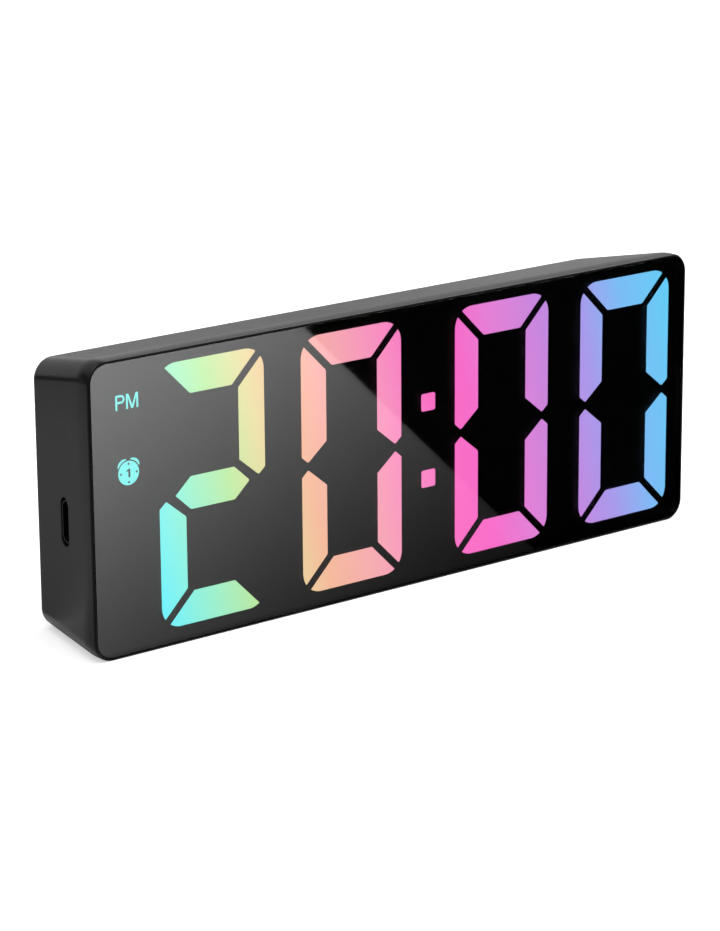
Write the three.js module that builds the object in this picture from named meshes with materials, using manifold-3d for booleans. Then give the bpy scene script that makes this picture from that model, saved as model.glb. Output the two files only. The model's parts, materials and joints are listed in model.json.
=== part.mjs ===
import * as THREE from 'three';
import { mergeVertices } from 'three/addons/utils/BufferGeometryUtils.js';
import Module from 'manifold-3d';

const wasm = await Module();
wasm.setup();

// Digital alarm clock in millimetres.
// +X runs to the right along the display, +Y runs from the display to the rear, +Z is up.
// The origin is the middle of the underside.

// Display layout
const digitWidth = 26.7;
const digitHeight = 55.4;
const digitGap = 9.45;
const colonGap = 14.8;
const leftMargin = 17.35;
const rightMargin = 4.15;
const digitMargin = 3.3;
const barThickness = 7.0;
const postThickness = 6.6;
const digitCornerRadius = 4.7;
const mitreOffset = 1.15;
const tipGap = 1.5;
const tipInset = 1.7;
const tipOuterShoulder = 1.45;
const tipInnerShoulder = 4.0;
const middleTipInset = 4.0;
const middleFlatInset = 7.85;
const colonDot = 3.9;
const colonDotRadius = 0.5;
const colonPitch = 16.9;
const markerFromLeft = 10.1;
const afternoonWindowWidth = 5.8;
const afternoonWindowHeight = 3.4;
const afternoonFromTop = 9.4;
const alarmWindowDiameter = 6.4;
const alarmFromTop = 23.9;

// Case
const wall = 2.0;
const roomWall = 2.5;
const frontRim = 0.6;
const caseCornerRadius = 4.4;
const frontEdgeFillet = 0.45;
const rearEdgeFillet = 0.8;
const taperStart = 3.0;
const taperInset = 4.8;
const fitGap = 0.3;
const looseGap = 0.5;
const sheetGap = 0.05;
const rearRecess = 0.6;

// Working values: how far a cut runs past a face, the weld distance, and how round things are
const overshoot = 1.0;
const weldDistance = 1e-4;
const fullEndGap = 0.01;
const caseCornerSteps = 14;
const smallSides = 12;
const usualSides = 20;
const roundSides = 24;

// Layers behind the front face
const panelThickness = 2.0;
const panelGap = 0.12;
const tapeThickness = 0.2;
const tapeOverlap = 0.6;
const maskThickness = 0.25;
const filmThickness = 0.25;
const reflectorDepth = 6.2;
const boardThickness = 1.6;

// Light-emitting diodes on the board
const ledWidth = 2.8;
const ledHeight = 2.0;
const ledDepth = 0.8;

// Battery bay and cells
const cellCount = 3;
const cellDiameter = 10.3;
const cellLength = 44.5;
const cellNubDiameter = 3.8;
const cellNubLength = 0.9;
const cellShoulder = 0.5;
const cellPitch = 10.9;
const cellClearance = 0.2;
const bayEndSpace = 2.6;
const bayWall = 1.6;
const bayFloor = 0.8;
const bayBoardGap = 2.75;
const bayFromRight = 51;
const bayFromBottom = 26;

// Battery door
const doorThickness = 1.4;
const doorLap = 0.7;
const doorTabWidth = 5.0;
const doorTabThickness = 1.0;
const doorTabDrop = 0.5;
const doorTabReach = 1.6;
const doorTabRoot = 1.4;
const doorTabSpacing = 26;
const doorTabSwing = 0.8;
const fingerRecessRadius = 6.0;
const fingerRecessDepth = 0.9;

// Battery contacts
const contactThickness = 0.4;
const contactWidth = 7.2;
const contactHeight = 7.6;
const contactTabWidth = 2.4;
const contactTabReach = 1.6;
const contactTabLift = 1.6;
const leafBow = 1.5;

// Rear cover
const coverThickness = 1.6;
const postDiameter = 4.0;
const postFromSide = 17;
const postFromEdge = 12;
const soundSlotCount = 5;
const soundSlotWidth = 1.4;
const soundSlotPitch = 2.8;
const soundSlotLength = 12;

// Buttons and the push switches below them
const buttonNames = ['set', 'up', 'down'];
const buttonDiameter = 7.0;
const buttonProud = 0.4;
const buttonCrown = 0.4;
const buttonFlangeDiameter = 9.4;
const buttonFlangeThickness = 1.0;
const buttonStemDiameter = 3.0;
const buttonPitch = 14;
const buttonFromLeft = 23;
const buttonFromTop = 16;
const switchSize = 6.0;
const switchHeight = 3.5;
const plungerDiameter = 3.4;
const plungerProud = 1.1;
const plungerBuried = 1.2;
const switchTravel = 0.5;

// USB socket
const socketWidth = 9.0;
const socketHeight = 3.2;
const socketLength = 7.3;
const socketShellWall = 0.3;
const socketBack = 1.0;
const socketRecess = 2.4;
const socketFromBottom = 26.7;
const slotSideGap = 0.3;
const slotEndGap = 0.65;
const tongueWidth = 6.7;
const tongueThickness = 0.7;
const tongueLength = 4.6;

// Components on the rear of the board
const chipWidth = 7.5;
const chipLength = 10.3;
const chipHeight = 2.0;
const chipLegsPerSide = 8;
const chipLegPitch = 1.27;
const chipLegWidth = 0.5;
const chipLegReach = 1.3;
const chipLegThickness = 0.3;
const componentColumnFromLeft = 67;
const chipFromBottom = 30;
const crystalWidth = 4.6;
const crystalLength = 11.0;
const crystalHeight = 3.4;
const crystalFromBottom = 43;
const capacitorDiameter = 6.3;
const capacitorHeight = 7.0;
const capacitorFromBottom = 17;
const buzzerDiameter = 12;
const buzzerHeight = 8.5;
const buzzerHoleDiameter = 2.4;
const buzzerHoleDepth = 1.5;
const buzzerFromLeft = 37;
const buzzerFromBottom = 20;

// Screws
const caseScrewDiameter = 2.3;
const caseScrewLength = 8.0;
const caseScrewHeadDiameter = 4.6;
const caseScrewHeadThickness = 0.9;
const caseScrewSink = 0.15;
const bossDiameter = 6.4;
const bossFromSide = 3.8;
const bossFromEdge = 4.2;
const boardScrewDiameter = 1.8;
const boardScrewLength = 5.0;
const boardScrewHeadDiameter = 3.6;
const boardScrewHeadThickness = 0.9;
const boardScrewFromEdge = 5.8;
const screwHeadSide = 0.6;
const screwHeadFlat = 0.7;
const screwPoint = 0.4;
const crossSlotReach = 0.6;
const crossSlotWidth = 0.7;
const crossSlotDepth = 0.45;

// Battery leads
const leadDiameter = 1.2;
const leadRun = 5.0;
const leadStraight = 1.75;
const leadBend = 4.0;
const leadDip = 0.4;

// Sizes that follow from the ones above
const caseWidth = leftMargin + 4 * digitWidth + 2 * digitGap + colonGap + rightMargin;
const caseHeight = digitHeight + 2 * digitMargin;
const panelBack = panelThickness;
const tapeFront = panelBack + sheetGap;
const maskFront = tapeFront + tapeThickness + sheetGap;
const filmFront = maskFront + maskThickness + sheetGap;
const reflectorFront = filmFront + filmThickness + sheetGap;
const boardFront = reflectorFront + reflectorDepth + sheetGap;
const boardBack = boardFront + boardThickness;
const bayFloorFront = boardBack + bayBoardGap;
const bayFloorBack = bayFloorFront + bayFloor;
const cellBack = bayFloorBack + cellClearance + cellDiameter;
const doorFront = cellBack + cellClearance;
const coverBack = doorFront + doorThickness;
const coverFront = coverBack - coverThickness;
const caseDepth = coverBack + rearRecess;

// World places: the front face lies at -caseDepth / 2
const frontY = -caseDepth / 2;
const leftX = -caseWidth / 2;
const rightX = caseWidth / 2;
const boardRearY = frontY + boardBack;
const coverFrontY = frontY + coverFront;
const coverBackY = frontY + coverBack;
const insideWidth = caseWidth - 2 * roomWall;
const insideHeight = caseHeight - 2 * roomWall;
const insideRadius = caseCornerRadius - roomWall;
const openingRadius = caseCornerRadius - wall;
const middleZ = caseHeight / 2;
const bayX = rightX - bayFromRight;
const bayLength = cellLength + cellNubLength + 2 * bayEndSpace;
const bayHeight = cellCount * cellPitch;
const bayTopZ = bayFromBottom + bayHeight / 2;
const bayBottomZ = bayFromBottom - bayHeight / 2;
const componentX = leftX + componentColumnFromLeft;
const buzzerX = leftX + buzzerFromLeft;
const buttonZ = caseHeight - buttonFromTop;
const openingX = rightX - taperInset - wall;
const openingTopZ = caseHeight - taperInset - wall;
const bosses = fourPlaces(openingX - bossFromSide, wall + bossFromEdge, openingTopZ - bossFromEdge);
const posts = fourPlaces(rightX - postFromSide, postFromEdge, caseHeight - postFromEdge);

const clock = new THREE.Group();

// Materials
const caseBlack = plastic(0x1c1c1e, 0.55);
const coverBlack = plastic(0x202022, 0.6);
const gloss = plastic(0x050506, 0.05);
const maskBlack = plastic(0x0a0a0a, 0.8);
const filmTint = plastic(0xd9b8e0, 0.5);
const tapeGrey = plastic(0x3a3a3a, 0.9);
const reflectorWhite = plastic(0xf0efe8, 0.5);
const boardGreen = plastic(0x1f6b3a, 0.4);
const chipBlack = plastic(0x151517, 0.5);
const steel = metal(0xb8b9bd, 0.3);
const nickel = metal(0xc9c6bd, 0.25);
const screwBlack = metal(0x2a2a2c, 0.35);
const cellGrey = plastic(0x8a8f98, 0.35);
const redCord = plastic(0xb01818, 0.5);
const blackCord = plastic(0x141414, 0.5);

function plastic(color, roughness) {
  return new THREE.MeshStandardMaterial({ color, roughness, metalness: 0 });
}

function metal(color, roughness) {
  return new THREE.MeshStandardMaterial({ color, roughness, metalness: 1 });
}

// The four places of a corner feature, as x and z
function fourPlaces(x, low, high) {
  return [[-x, low], [x, low], [-x, high], [x, high]];
}

function toSolid(geometry) {
  const plain = geometry.clone();
  plain.deleteAttribute('normal');
  plain.deleteAttribute('uv');
  const merged = mergeVertices(plain, weldDistance);
  const mesh = new wasm.Mesh({
    numProp: 3,
    vertProperties: Float32Array.from(merged.attributes.position.array),
    triVerts: Uint32Array.from(merged.index.array),
  });
  return new wasm.Manifold(mesh);
}

function toGeometry(solid) {
  const mesh = solid.getMesh();
  const geometry = new THREE.BufferGeometry();
  geometry.setAttribute('position', new THREE.BufferAttribute(mesh.vertProperties, 3));
  geometry.setIndex(new THREE.BufferAttribute(mesh.triVerts, 1));
  geometry.computeVertexNormals();
  return geometry;
}

function addPiece(name, solid, material, x = 0, y = 0, z = 0) {
  const mesh = new THREE.Mesh(toGeometry(solid), material);
  mesh.name = name;
  mesh.position.set(x, y, z);
  clock.add(mesh);
  return mesh;
}

// Joins a list of solids into the first one
function join(first, others) {
  return others.reduce((whole, part) => whole.add(part), first);
}

// Cuts a list of solids out of the first one
function cut(first, others) {
  return others.reduce((whole, part) => whole.subtract(part), first);
}

function roundedRect(width, height, radius, x = 0, z = 0) {
  const left = x - width / 2;
  const right = x + width / 2;
  const bottom = z - height / 2;
  const top = z + height / 2;
  const quarter = Math.PI / 2;
  const shape = new THREE.Shape();
  shape.moveTo(left + radius, bottom);
  shape.lineTo(right - radius, bottom);
  shape.absarc(right - radius, bottom + radius, radius, -quarter, 0);
  shape.lineTo(right, top - radius);
  shape.absarc(right - radius, top - radius, radius, 0, quarter);
  shape.lineTo(left + radius, top);
  shape.absarc(left + radius, top - radius, radius, quarter, 2 * quarter);
  shape.lineTo(left, bottom + radius);
  shape.absarc(left + radius, bottom + radius, radius, 2 * quarter, 3 * quarter);
  return shape;
}

// A shape in x and z, extruded from one depth to another
function slab(shape, front, back, curveSegments = 6) {
  const geometry = new THREE.ExtrudeGeometry(shape, {
    depth: back - front,
    bevelEnabled: false,
    curveSegments,
  });
  geometry.rotateX(Math.PI / 2);
  geometry.translate(0, back, 0);
  return toSolid(geometry);
}

function block(xRange, yRange, zRange) {
  const geometry = new THREE.BoxGeometry(
    xRange[1] - xRange[0],
    yRange[1] - yRange[0],
    zRange[1] - zRange[0],
  );
  geometry.translate(
    (xRange[0] + xRange[1]) / 2,
    (yRange[0] + yRange[1]) / 2,
    (zRange[0] + zRange[1]) / 2,
  );
  return toSolid(geometry);
}

// A round bar along Y
function rod(diameter, front, back, x = 0, z = 0, sides = usualSides) {
  const geometry = new THREE.CylinderGeometry(diameter / 2, diameter / 2, back - front, sides);
  geometry.translate(x, (front + back) / 2, z);
  return toSolid(geometry);
}

// A turned piece about Y from a profile of radius and depth pairs
function turned(profile, sides = usualSides) {
  const points = profile.map(([radius, depth]) => new THREE.Vector2(radius, depth));
  return toSolid(new THREE.LatheGeometry(points, sides));
}

function arcPoints(x, z, radius, from, to, steps) {
  const points = [];
  for (let step = 0; step <= steps; step++) {
    const angle = from + ((to - from) * step) / steps;
    points.push([x + radius * Math.cos(angle), z + radius * Math.sin(angle)]);
  }
  return points;
}

// Half the angle between the diagonals that part a bar from a post at a rounded corner
const mitreAngle = Math.PI / 4 - Math.acos(mitreOffset / (digitCornerRadius * Math.SQRT2));

// The top bar, as x and distance in from the digit's edge
function barPoints() {
  const radius = digitCornerRadius;
  const arc = arcPoints(radius, radius, radius, 1.5 * Math.PI + mitreAngle, 1.5 * Math.PI, 3);
  const mirrored = arc.map(([x, inward]) => [digitWidth - x, inward]).reverse();
  const inner = barThickness + mitreOffset;
  return [...arc, ...mirrored, [digitWidth - inner, barThickness], [inner, barThickness]];
}

// The upper left post, as x and distance down from the digit's top
function postPoints() {
  const radius = digitCornerRadius;
  const arc = arcPoints(radius, radius, radius, Math.PI, Math.PI - mitreAngle, 3);
  const tip = (digitHeight - tipGap) / 2;
  return [
    ...arc,
    [postThickness, postThickness + mitreOffset],
    [postThickness, tip - tipInnerShoulder],
    [tipInset, tip],
    [0, tip - tipOuterShoulder],
  ];
}

function middlePoints() {
  const middle = digitHeight / 2;
  const half = barThickness / 2;
  return [
    [middleTipInset, middle],
    [middleFlatInset, middle + half],
    [digitWidth - middleFlatInset, middle + half],
    [digitWidth - middleTipInset, middle],
    [digitWidth - middleFlatInset, middle - half],
    [middleFlatInset, middle - half],
  ];
}

// The seven segments of a digit, as lists of x and z from its lower left corner
function segmentOutlines() {
  const flipX = ([x, z]) => [digitWidth - x, z];
  const flipZ = ([x, z]) => [x, digitHeight - z];
  const bar = barPoints();
  const post = postPoints();
  return [
    bar.map(flipZ),
    bar,
    middlePoints(),
    post.map(flipZ),
    post.map(flipZ).map(flipX),
    post,
    post.map(flipX),
  ];
}

// The lower left corners of the four digits
function digitPlaces() {
  const places = [];
  let x = leftX + leftMargin;
  for (const gap of [digitGap, colonGap, digitGap, 0]) {
    places.push([x, digitMargin]);
    x += digitWidth + gap;
  }
  return places;
}

const colonX = leftX + leftMargin + 2 * digitWidth + digitGap + colonGap / 2;
const markerX = leftX + markerFromLeft;

// Every window of the display: segments, colon dots and the two markers
function displayWindows() {
  const windows = [];
  for (const [left, bottom] of digitPlaces()) {
    for (const outline of segmentOutlines()) {
      windows.push(new THREE.Shape(outline.map(([x, z]) => new THREE.Vector2(left + x, bottom + z))));
    }
  }
  for (const side of [-1, 1]) {
    const z = middleZ + (side * colonPitch) / 2;
    windows.push(roundedRect(colonDot, colonDot, colonDotRadius, colonX, z));
  }
  const afternoonZ = caseHeight - afternoonFromTop;
  windows.push(roundedRect(
    afternoonWindowWidth, afternoonWindowHeight, colonDotRadius, markerX, afternoonZ));
  const alarmRadius = alarmWindowDiameter / 2;
  const alarm = new THREE.Shape();
  alarm.absarc(markerX, caseHeight - alarmFromTop, alarmRadius, 0, 2 * Math.PI);
  windows.push(alarm);
  return windows;
}

// Lamp places: two for each segment, one for each dot and marker
function ledPlaces() {
  const places = [];
  const acrossBar = digitWidth / 5;
  const alongPost = digitHeight / 9;
  const postX = postThickness / 2;
  for (const [left, bottom] of digitPlaces()) {
    const middleX = left + digitWidth / 2;
    for (const z of [barThickness / 2, digitHeight / 2, digitHeight - barThickness / 2]) {
      places.push([middleX - acrossBar, bottom + z], [middleX + acrossBar, bottom + z]);
    }
    for (const x of [left + postX, left + digitWidth - postX]) {
      for (const quarter of [1, 3]) {
        const z = bottom + (quarter * digitHeight) / 4;
        places.push([x, z - alongPost / 2], [x, z + alongPost / 2]);
      }
    }
  }
  places.push([colonX, middleZ - colonPitch / 2], [colonX, middleZ + colonPitch / 2]);
  places.push([markerX, caseHeight - afternoonFromTop], [markerX, caseHeight - alarmFromTop]);
  return places;
}

// Places of the screws that hold the board, between the outer pairs of digits
function boardScrewPlaces() {
  const [first, , third] = digitPlaces();
  const places = [];
  for (const z of [boardScrewFromEdge, caseHeight - boardScrewFromEdge]) {
    for (const [left] of [first, third]) {
      places.push([left + digitWidth + digitGap / 2, z]);
    }
  }
  return places;
}

// The socket stands on the rear of the board
const socketY = boardRearY + sheetGap + socketHeight / 2;

// A stadium outline in y and z, extruded along X
function stadiumAlongX(width, height, from, to, sides = 6) {
  const geometry = new THREE.ExtrudeGeometry(
    roundedRect(height, width, Math.min(width, height) / 2 - fullEndGap),
    { depth: to - from, bevelEnabled: false, curveSegments: sides },
  );
  // Shape x becomes y, shape y becomes z, and the extrusion runs along x
  geometry.applyMatrix4(new THREE.Matrix4().set(0, 0, 1, from, 1, 0, 0, 0, 0, 1, 0, 0, 0, 0, 0, 1));
  return toSolid(geometry);
}

// How far the top and the sides have drawn in at a depth from the front face
function taperAt(depth) {
  return (taperInset * Math.max(depth - taperStart, 0)) / (caseDepth - taperStart);
}

// A quarter round of the case's outline, from the middle of its corner and its first quarter turn
function caseCorner(x, y, z, radius, quarters) {
  const points = [];
  for (let step = 0; step <= caseCornerSteps; step++) {
    const angle = (quarters + step / caseCornerSteps) * (Math.PI / 2);
    points.push([x + radius * Math.cos(angle), y, z + radius * Math.sin(angle)]);
  }
  return points;
}

// The case's outline at a depth, drawn in by an inset all round; the underside stays flat
function caseRing(depth, inset) {
  const taper = taperAt(depth);
  const radius = caseCornerRadius - inset;
  const x = caseWidth / 2 - taper - inset - radius;
  const y = frontY + depth;
  const low = inset + radius;
  const high = caseHeight - taper - inset - radius;
  return [
    ...caseCorner(x, y, low, radius, -1),
    ...caseCorner(x, y, high, radius, 0),
    ...caseCorner(-x, y, high, radius, 1),
    ...caseCorner(-x, y, low, radius, 2),
  ];
}

// A closed solid through rings of equal counts, with flat convex ends
function loft(rings) {
  const count = rings[0].length;
  const last = (rings.length - 1) * count;
  const triangles = [];
  for (let ring = 0; ring + 1 < rings.length; ring++) {
    for (let index = 0; index < count; index++) {
      const near = ring * count + index;
      const nearNext = ring * count + ((index + 1) % count);
      triangles.push(near, near + count, nearNext, nearNext, near + count, nearNext + count);
    }
  }
  for (let index = 1; index + 1 < count; index++) {
    triangles.push(0, index, index + 1, last, last + index + 1, last + index);
  }
  const geometry = new THREE.BufferGeometry();
  geometry.setAttribute('position', new THREE.Float32BufferAttribute(rings.flat(2), 3));
  geometry.setIndex(triangles);
  return toSolid(geometry);
}

// The body between two depths, drawn in by an inset
function taperedBody(front, back, inset) {
  const depths = front < taperStart ? [front, taperStart, back] : [front, back];
  return depths.map((depth) => caseRing(depth, inset));
}

// The outer body, with a small fillet round its front and rear edges
function caseBody() {
  const half = 1 - Math.SQRT1_2;
  const front = frontEdgeFillet;
  const rear = rearEdgeFillet;
  return loft([
    caseRing(0, front),
    caseRing(front * half, front * half),
    ...taperedBody(front, caseDepth - rear, 0),
    caseRing(caseDepth - rear * half, rear * half),
    caseRing(caseDepth, rear),
  ]);
}

function mainCase() {
  const roomBack = boardBack + looseGap;
  const inside = roundedRect(insideWidth, insideHeight, insideRadius, 0, middleZ);
  const rebate = roundedRect(
    caseWidth - 2 * frontRim,
    caseHeight - 2 * frontRim,
    caseCornerRadius - frontRim,
    0,
    middleZ,
  );
  const rearRoom = loft(taperedBody(roomBack - overshoot, caseDepth, wall));
  const opening = caseRing(caseDepth, wall);
  const beyond = opening.map(([x, y, z]) => [x, y + overshoot, z]);
  let body = cut(caseBody(), [
    slab(inside, frontY - overshoot, frontY + roomBack),
    slab(rebate, frontY - overshoot, frontY + tapeFront + tapeThickness + sheetGap),
    rearRoom,
    loft([opening, beyond]),
  ]);
  for (const [x, z] of bosses) {
    body = body.add(cornerBoss(x, z));
  }
  const pilot = caseScrewDiameter + 2 * fitGap;
  const pilotFront = coverFrontY - caseScrewLength;
  const slot = stadiumAlongX(
    socketWidth + 2 * slotEndGap, socketHeight + 2 * slotSideGap, -overshoot, socketRecess + wall);
  return cut(body, [
    ...bosses.map(([x, z]) => rod(pilot, pilotFront, coverFrontY, x, z, smallSides)),
    slot.translate([leftX, socketY, socketFromBottom]),
  ]);
}

// A screw boss that grows out of the two walls of a case corner
function cornerBoss(x, z) {
  const depths = [boardBack + looseGap, coverFront - sheetGap];
  const yRange = depths.map((depth) => frontY + depth);
  const sideX = Math.sign(x) * rightX;
  const edgeZ = z < middleZ ? 0 : caseHeight;
  const half = bossDiameter / 2;
  const towardsSide = block(sorted(x, sideX), yRange, [z - half, z + half]);
  const towardsEdge = block([x - half, x + half], yRange, sorted(z, edgeZ));
  const whole = join(rod(bossDiameter, yRange[0], yRange[1], x, z), [towardsSide, towardsEdge]);
  return whole.intersect(loft(taperedBody(depths[0], depths[1], wall / 2)));
}

function sorted(a, b) {
  return a < b ? [a, b] : [b, a];
}

// The common outline of the front panel and its tape
function panelOutline() {
  const inset = frontRim + panelGap;
  return roundedRect(
    caseWidth - 2 * inset, caseHeight - 2 * inset, caseCornerRadius - inset, 0, middleZ);
}

function frontPanel() {
  return slab(panelOutline(), frontY, frontY + panelBack);
}

function panelTape() {
  const opening = roundedRect(
    insideWidth - 2 * tapeOverlap, insideHeight - 2 * tapeOverlap, insideRadius, 0, middleZ);
  const front = frontY + tapeFront;
  const back = front + tapeThickness;
  return slab(panelOutline(), front, back).subtract(slab(opening, front - overshoot, back + overshoot));
}

// The common outline of the mask, the film, the reflector and the board
function moduleOutline() {
  const inset = 2 * fitGap;
  return roundedRect(
    insideWidth - inset, insideHeight - inset, insideRadius - fitGap, 0, middleZ);
}

function displayMask() {
  const front = frontY + maskFront;
  const back = front + maskThickness;
  const windows = displayWindows().map((shape) => slab(shape, front - overshoot, back + overshoot));
  return cut(slab(moduleOutline(), front, back), windows);
}

function rainbowFilm() {
  const front = frontY + filmFront;
  return slab(moduleOutline(), front, front + filmThickness);
}

function reflector() {
  const front = frontY + reflectorFront;
  const back = front + reflectorDepth;
  const cells = displayWindows().map((shape) => slab(shape, front - overshoot, back + overshoot));
  const depth = boardScrewLength + fitGap;
  const hole = boardScrewDiameter + 2 * fitGap;
  const pilots = boardScrewPlaces().map(([x, z]) => rod(
    hole, back - depth, back + overshoot, x, z, smallSides));
  return cut(slab(moduleOutline(), front, back), [...cells, ...pilots]);
}

function displayBoard() {
  const front = frontY + boardFront;
  const hole = boardScrewDiameter + 2 * fitGap;
  const holes = boardScrewPlaces().map(([x, z]) => rod(
    hole, front - overshoot, boardRearY + overshoot, x, z, smallSides));
  const board = cut(slab(moduleOutline(), front, boardRearY), holes);
  const lamps = ledPlaces().map(([x, z]) => block(
    [x - ledWidth / 2, x + ledWidth / 2],
    [front - ledDepth, front + boardThickness / 2],
    [z - ledHeight / 2, z + ledHeight / 2],
  ));
  return join(board, lamps);
}

function controllerChip() {
  const half = chipWidth / 2;
  const bodyLow = chipLegThickness;
  const body = block([-half, half], [bodyLow, chipHeight], [-chipLength / 2, chipLength / 2]);
  const legs = [];
  for (let index = 0; index < chipLegsPerSide; index++) {
    const z = (index - (chipLegsPerSide - 1) / 2) * chipLegPitch;
    legs.push(block(
      [-half - chipLegReach, half + chipLegReach],
      [0, chipLegThickness * 2],
      [z - chipLegWidth / 2, z + chipLegWidth / 2],
    ));
  }
  return join(body, legs);
}

function crystal() {
  const geometry = new THREE.ExtrudeGeometry(
    roundedRect(crystalWidth, crystalLength, crystalWidth / 2 - fullEndGap),
    { depth: crystalHeight, bevelEnabled: false, curveSegments: 5 },
  );
  geometry.rotateX(Math.PI / 2);
  geometry.translate(0, crystalHeight, 0);
  return toSolid(geometry);
}

function buzzer() {
  const body = rod(buzzerDiameter, 0, buzzerHeight, 0, 0, roundSides);
  const hole = rod(buzzerHoleDiameter, buzzerHeight - buzzerHoleDepth, buzzerHeight + overshoot);
  return body.subtract(hole);
}

function socketShell() {
  const shell = stadiumAlongX(socketWidth, socketHeight, 0, socketLength);
  const inner = 2 * socketShellWall;
  const mouth = stadiumAlongX(
    socketWidth - inner, socketHeight - inner, -overshoot, socketLength - socketBack);
  return shell.subtract(mouth);
}

function socketTongue() {
  const end = socketLength - socketBack - sheetGap;
  return block(
    [end - tongueLength, end],
    [-tongueThickness / 2, tongueThickness / 2],
    [-tongueWidth / 2, tongueWidth / 2],
  );
}

function switchHousing() {
  const half = switchSize / 2;
  const housing = block([-half, half], [0, switchHeight], [-half, half]);
  const wellDepth = plungerBuried + switchTravel + fitGap;
  const wellDiameter = plungerDiameter + 2 * fitGap;
  return housing.subtract(rod(wellDiameter, switchHeight - wellDepth, switchHeight + overshoot));
}

function switchPlunger() {
  return rod(plungerDiameter, switchHeight - plungerBuried, switchHeight + plungerProud);
}

// Depths of a button, measured from the rear of the board
function button() {
  const bottom = sheetGap + switchHeight + plungerProud + sheetGap;
  const flangeBack = coverFront - boardBack - fitGap;
  const flangeFront = flangeBack - buttonFlangeThickness;
  const top = coverBack - boardBack + buttonProud;
  const cap = buttonDiameter / 2;
  return turned([
    [0, bottom],
    [buttonStemDiameter / 2, bottom],
    [buttonStemDiameter / 2, flangeFront],
    [buttonFlangeDiameter / 2, flangeFront],
    [buttonFlangeDiameter / 2, flangeBack],
    [cap, flangeBack],
    [cap, top - buttonCrown],
    [cap - buttonCrown, top],
    [0, top],
  ]);
}

function rearCover() {
  const outline = roundedRect(
    2 * (openingX - fitGap),
    openingTopZ - wall - 2 * fitGap,
    openingRadius - fitGap,
    0,
    (openingTopZ + wall) / 2,
  );
  const plate = slab(outline, coverFrontY, coverBackY);
  const tub = block(
    [bayX - bayLength / 2 - bayWall, bayX + bayLength / 2 + bayWall],
    [frontY + bayFloorFront, coverFrontY + coverThickness / 2],
    [bayBottomZ - bayWall, bayTopZ + bayWall],
  );
  const pillars = posts.map(([x, z]) => rod(
    postDiameter, boardRearY + fitGap, coverFrontY + coverThickness / 2, x, z));
  const doorGap = doorLap + fitGap;
  const doorRecess = block(
    [bayX - bayLength / 2 - doorGap, bayX + bayLength / 2 + doorGap],
    [frontY + doorFront - sheetGap, coverBackY + overshoot],
    [bayBottomZ - doorGap, bayTopZ + doorGap],
  );
  const bay = block(
    [bayX - bayLength / 2, bayX + bayLength / 2],
    [frontY + bayFloorBack, coverBackY + overshoot],
    [bayBottomZ, bayTopZ],
  );
  return cut(join(plate, [tub, ...pillars]), [
    doorRecess,
    bay,
    ...doorTabSlots(),
    ...contactSlots(),
    fingerRecess(),
    ...coverHoles(),
  ]);
}

// Room in the bay's lower wall for the door's tabs as they swing
function doorTabSlots() {
  const half = doorTabWidth / 2 + fitGap;
  const back = frontY + doorFront;
  const front = back - doorTabDrop - doorTabThickness - doorTabSwing;
  return [-1, 1].map((side) => {
    const x = bayX + (side * doorTabSpacing) / 2;
    const zRange = [bayBottomZ - bayWall - overshoot, bayBottomZ + overshoot];
    return block([x - half, x + half], [front, coverFrontY], zRange);
  });
}

// Slots in the bay's end walls for the solder tabs of the two outer contacts
function contactSlots() {
  return outerContacts().map(({ x, z, side }) => {
    const y = frontY + bayFloorBack + contactTabLift;
    const half = contactTabWidth / 2 + fitGap;
    const reach = side * (bayWall + overshoot);
    return block(
      sorted(x - side * overshoot, x + reach),
      [y - fitGap, y + contactThickness + fitGap],
      [z - half, z + half],
    );
  });
}

// A shallow round hollow across the door's free edge, for a finger nail
function fingerRecess() {
  const top = bayTopZ + doorLap;
  const depths = [coverBackY - fingerRecessDepth, coverBackY + overshoot];
  return rod(2 * fingerRecessRadius, depths[0], depths[1], bayX, top, roundSides);
}

// Holes through the cover plate: screws, buttons and sound slots
function coverHoles() {
  const holes = [];
  const through = [coverFrontY - overshoot, coverBackY + overshoot];
  for (const [x, z] of bosses) {
    const headSeat = coverBackY - caseScrewHeadThickness - caseScrewSink;
    holes.push(rod(caseScrewDiameter + 2 * fitGap, through[0], through[1], x, z, smallSides));
    holes.push(rod(caseScrewHeadDiameter + 2 * fitGap, headSeat - sheetGap, through[1], x, z));
  }
  for (const x of buttonPlaces()) {
    holes.push(rod(buttonDiameter + 2 * fitGap, through[0], through[1], x, buttonZ));
  }
  for (let index = 0; index < soundSlotCount; index++) {
    const x = buzzerX + (index - (soundSlotCount - 1) / 2) * soundSlotPitch;
    const slot = roundedRect(
      soundSlotWidth, soundSlotLength, soundSlotWidth / 2 - fullEndGap, x, buzzerFromBottom);
    holes.push(slab(slot, through[0], through[1], 3));
  }
  return holes;
}

function buttonPlaces() {
  return buttonNames.map((name, index) => leftX + buttonFromLeft + index * buttonPitch);
}

function batteryDoor() {
  const halfLength = bayLength / 2 + doorLap;
  const front = frontY + doorFront;
  const low = bayBottomZ - doorLap;
  const lid = block([bayX - halfLength, bayX + halfLength], [front, coverBackY], [low, bayTopZ + doorLap]);
  const tabs = [-1, 1].map((side) => {
    const x = bayX + (side * doorTabSpacing) / 2;
    const xRange = [x - doorTabWidth / 2, x + doorTabWidth / 2];
    const tabBack = front - doorTabDrop;
    const tabFront = tabBack - doorTabThickness;
    const rootTop = bayBottomZ + doorTabRoot;
    const root = block(xRange, [tabFront, front + doorThickness / 2], [bayBottomZ + fitGap, rootTop]);
    return root.add(block(xRange, [tabFront, tabBack], [low - doorTabReach, rootTop]));
  });
  return join(lid, tabs).subtract(fingerRecess());
}

function cellPlace(index) {
  return {
    x: bayX,
    y: frontY + bayFloorBack + cellClearance + cellDiameter / 2,
    z: bayTopZ - cellPitch * (index + 0.5),
    positiveSide: index % 2 === 0 ? -1 : 1,
  };
}

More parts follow.
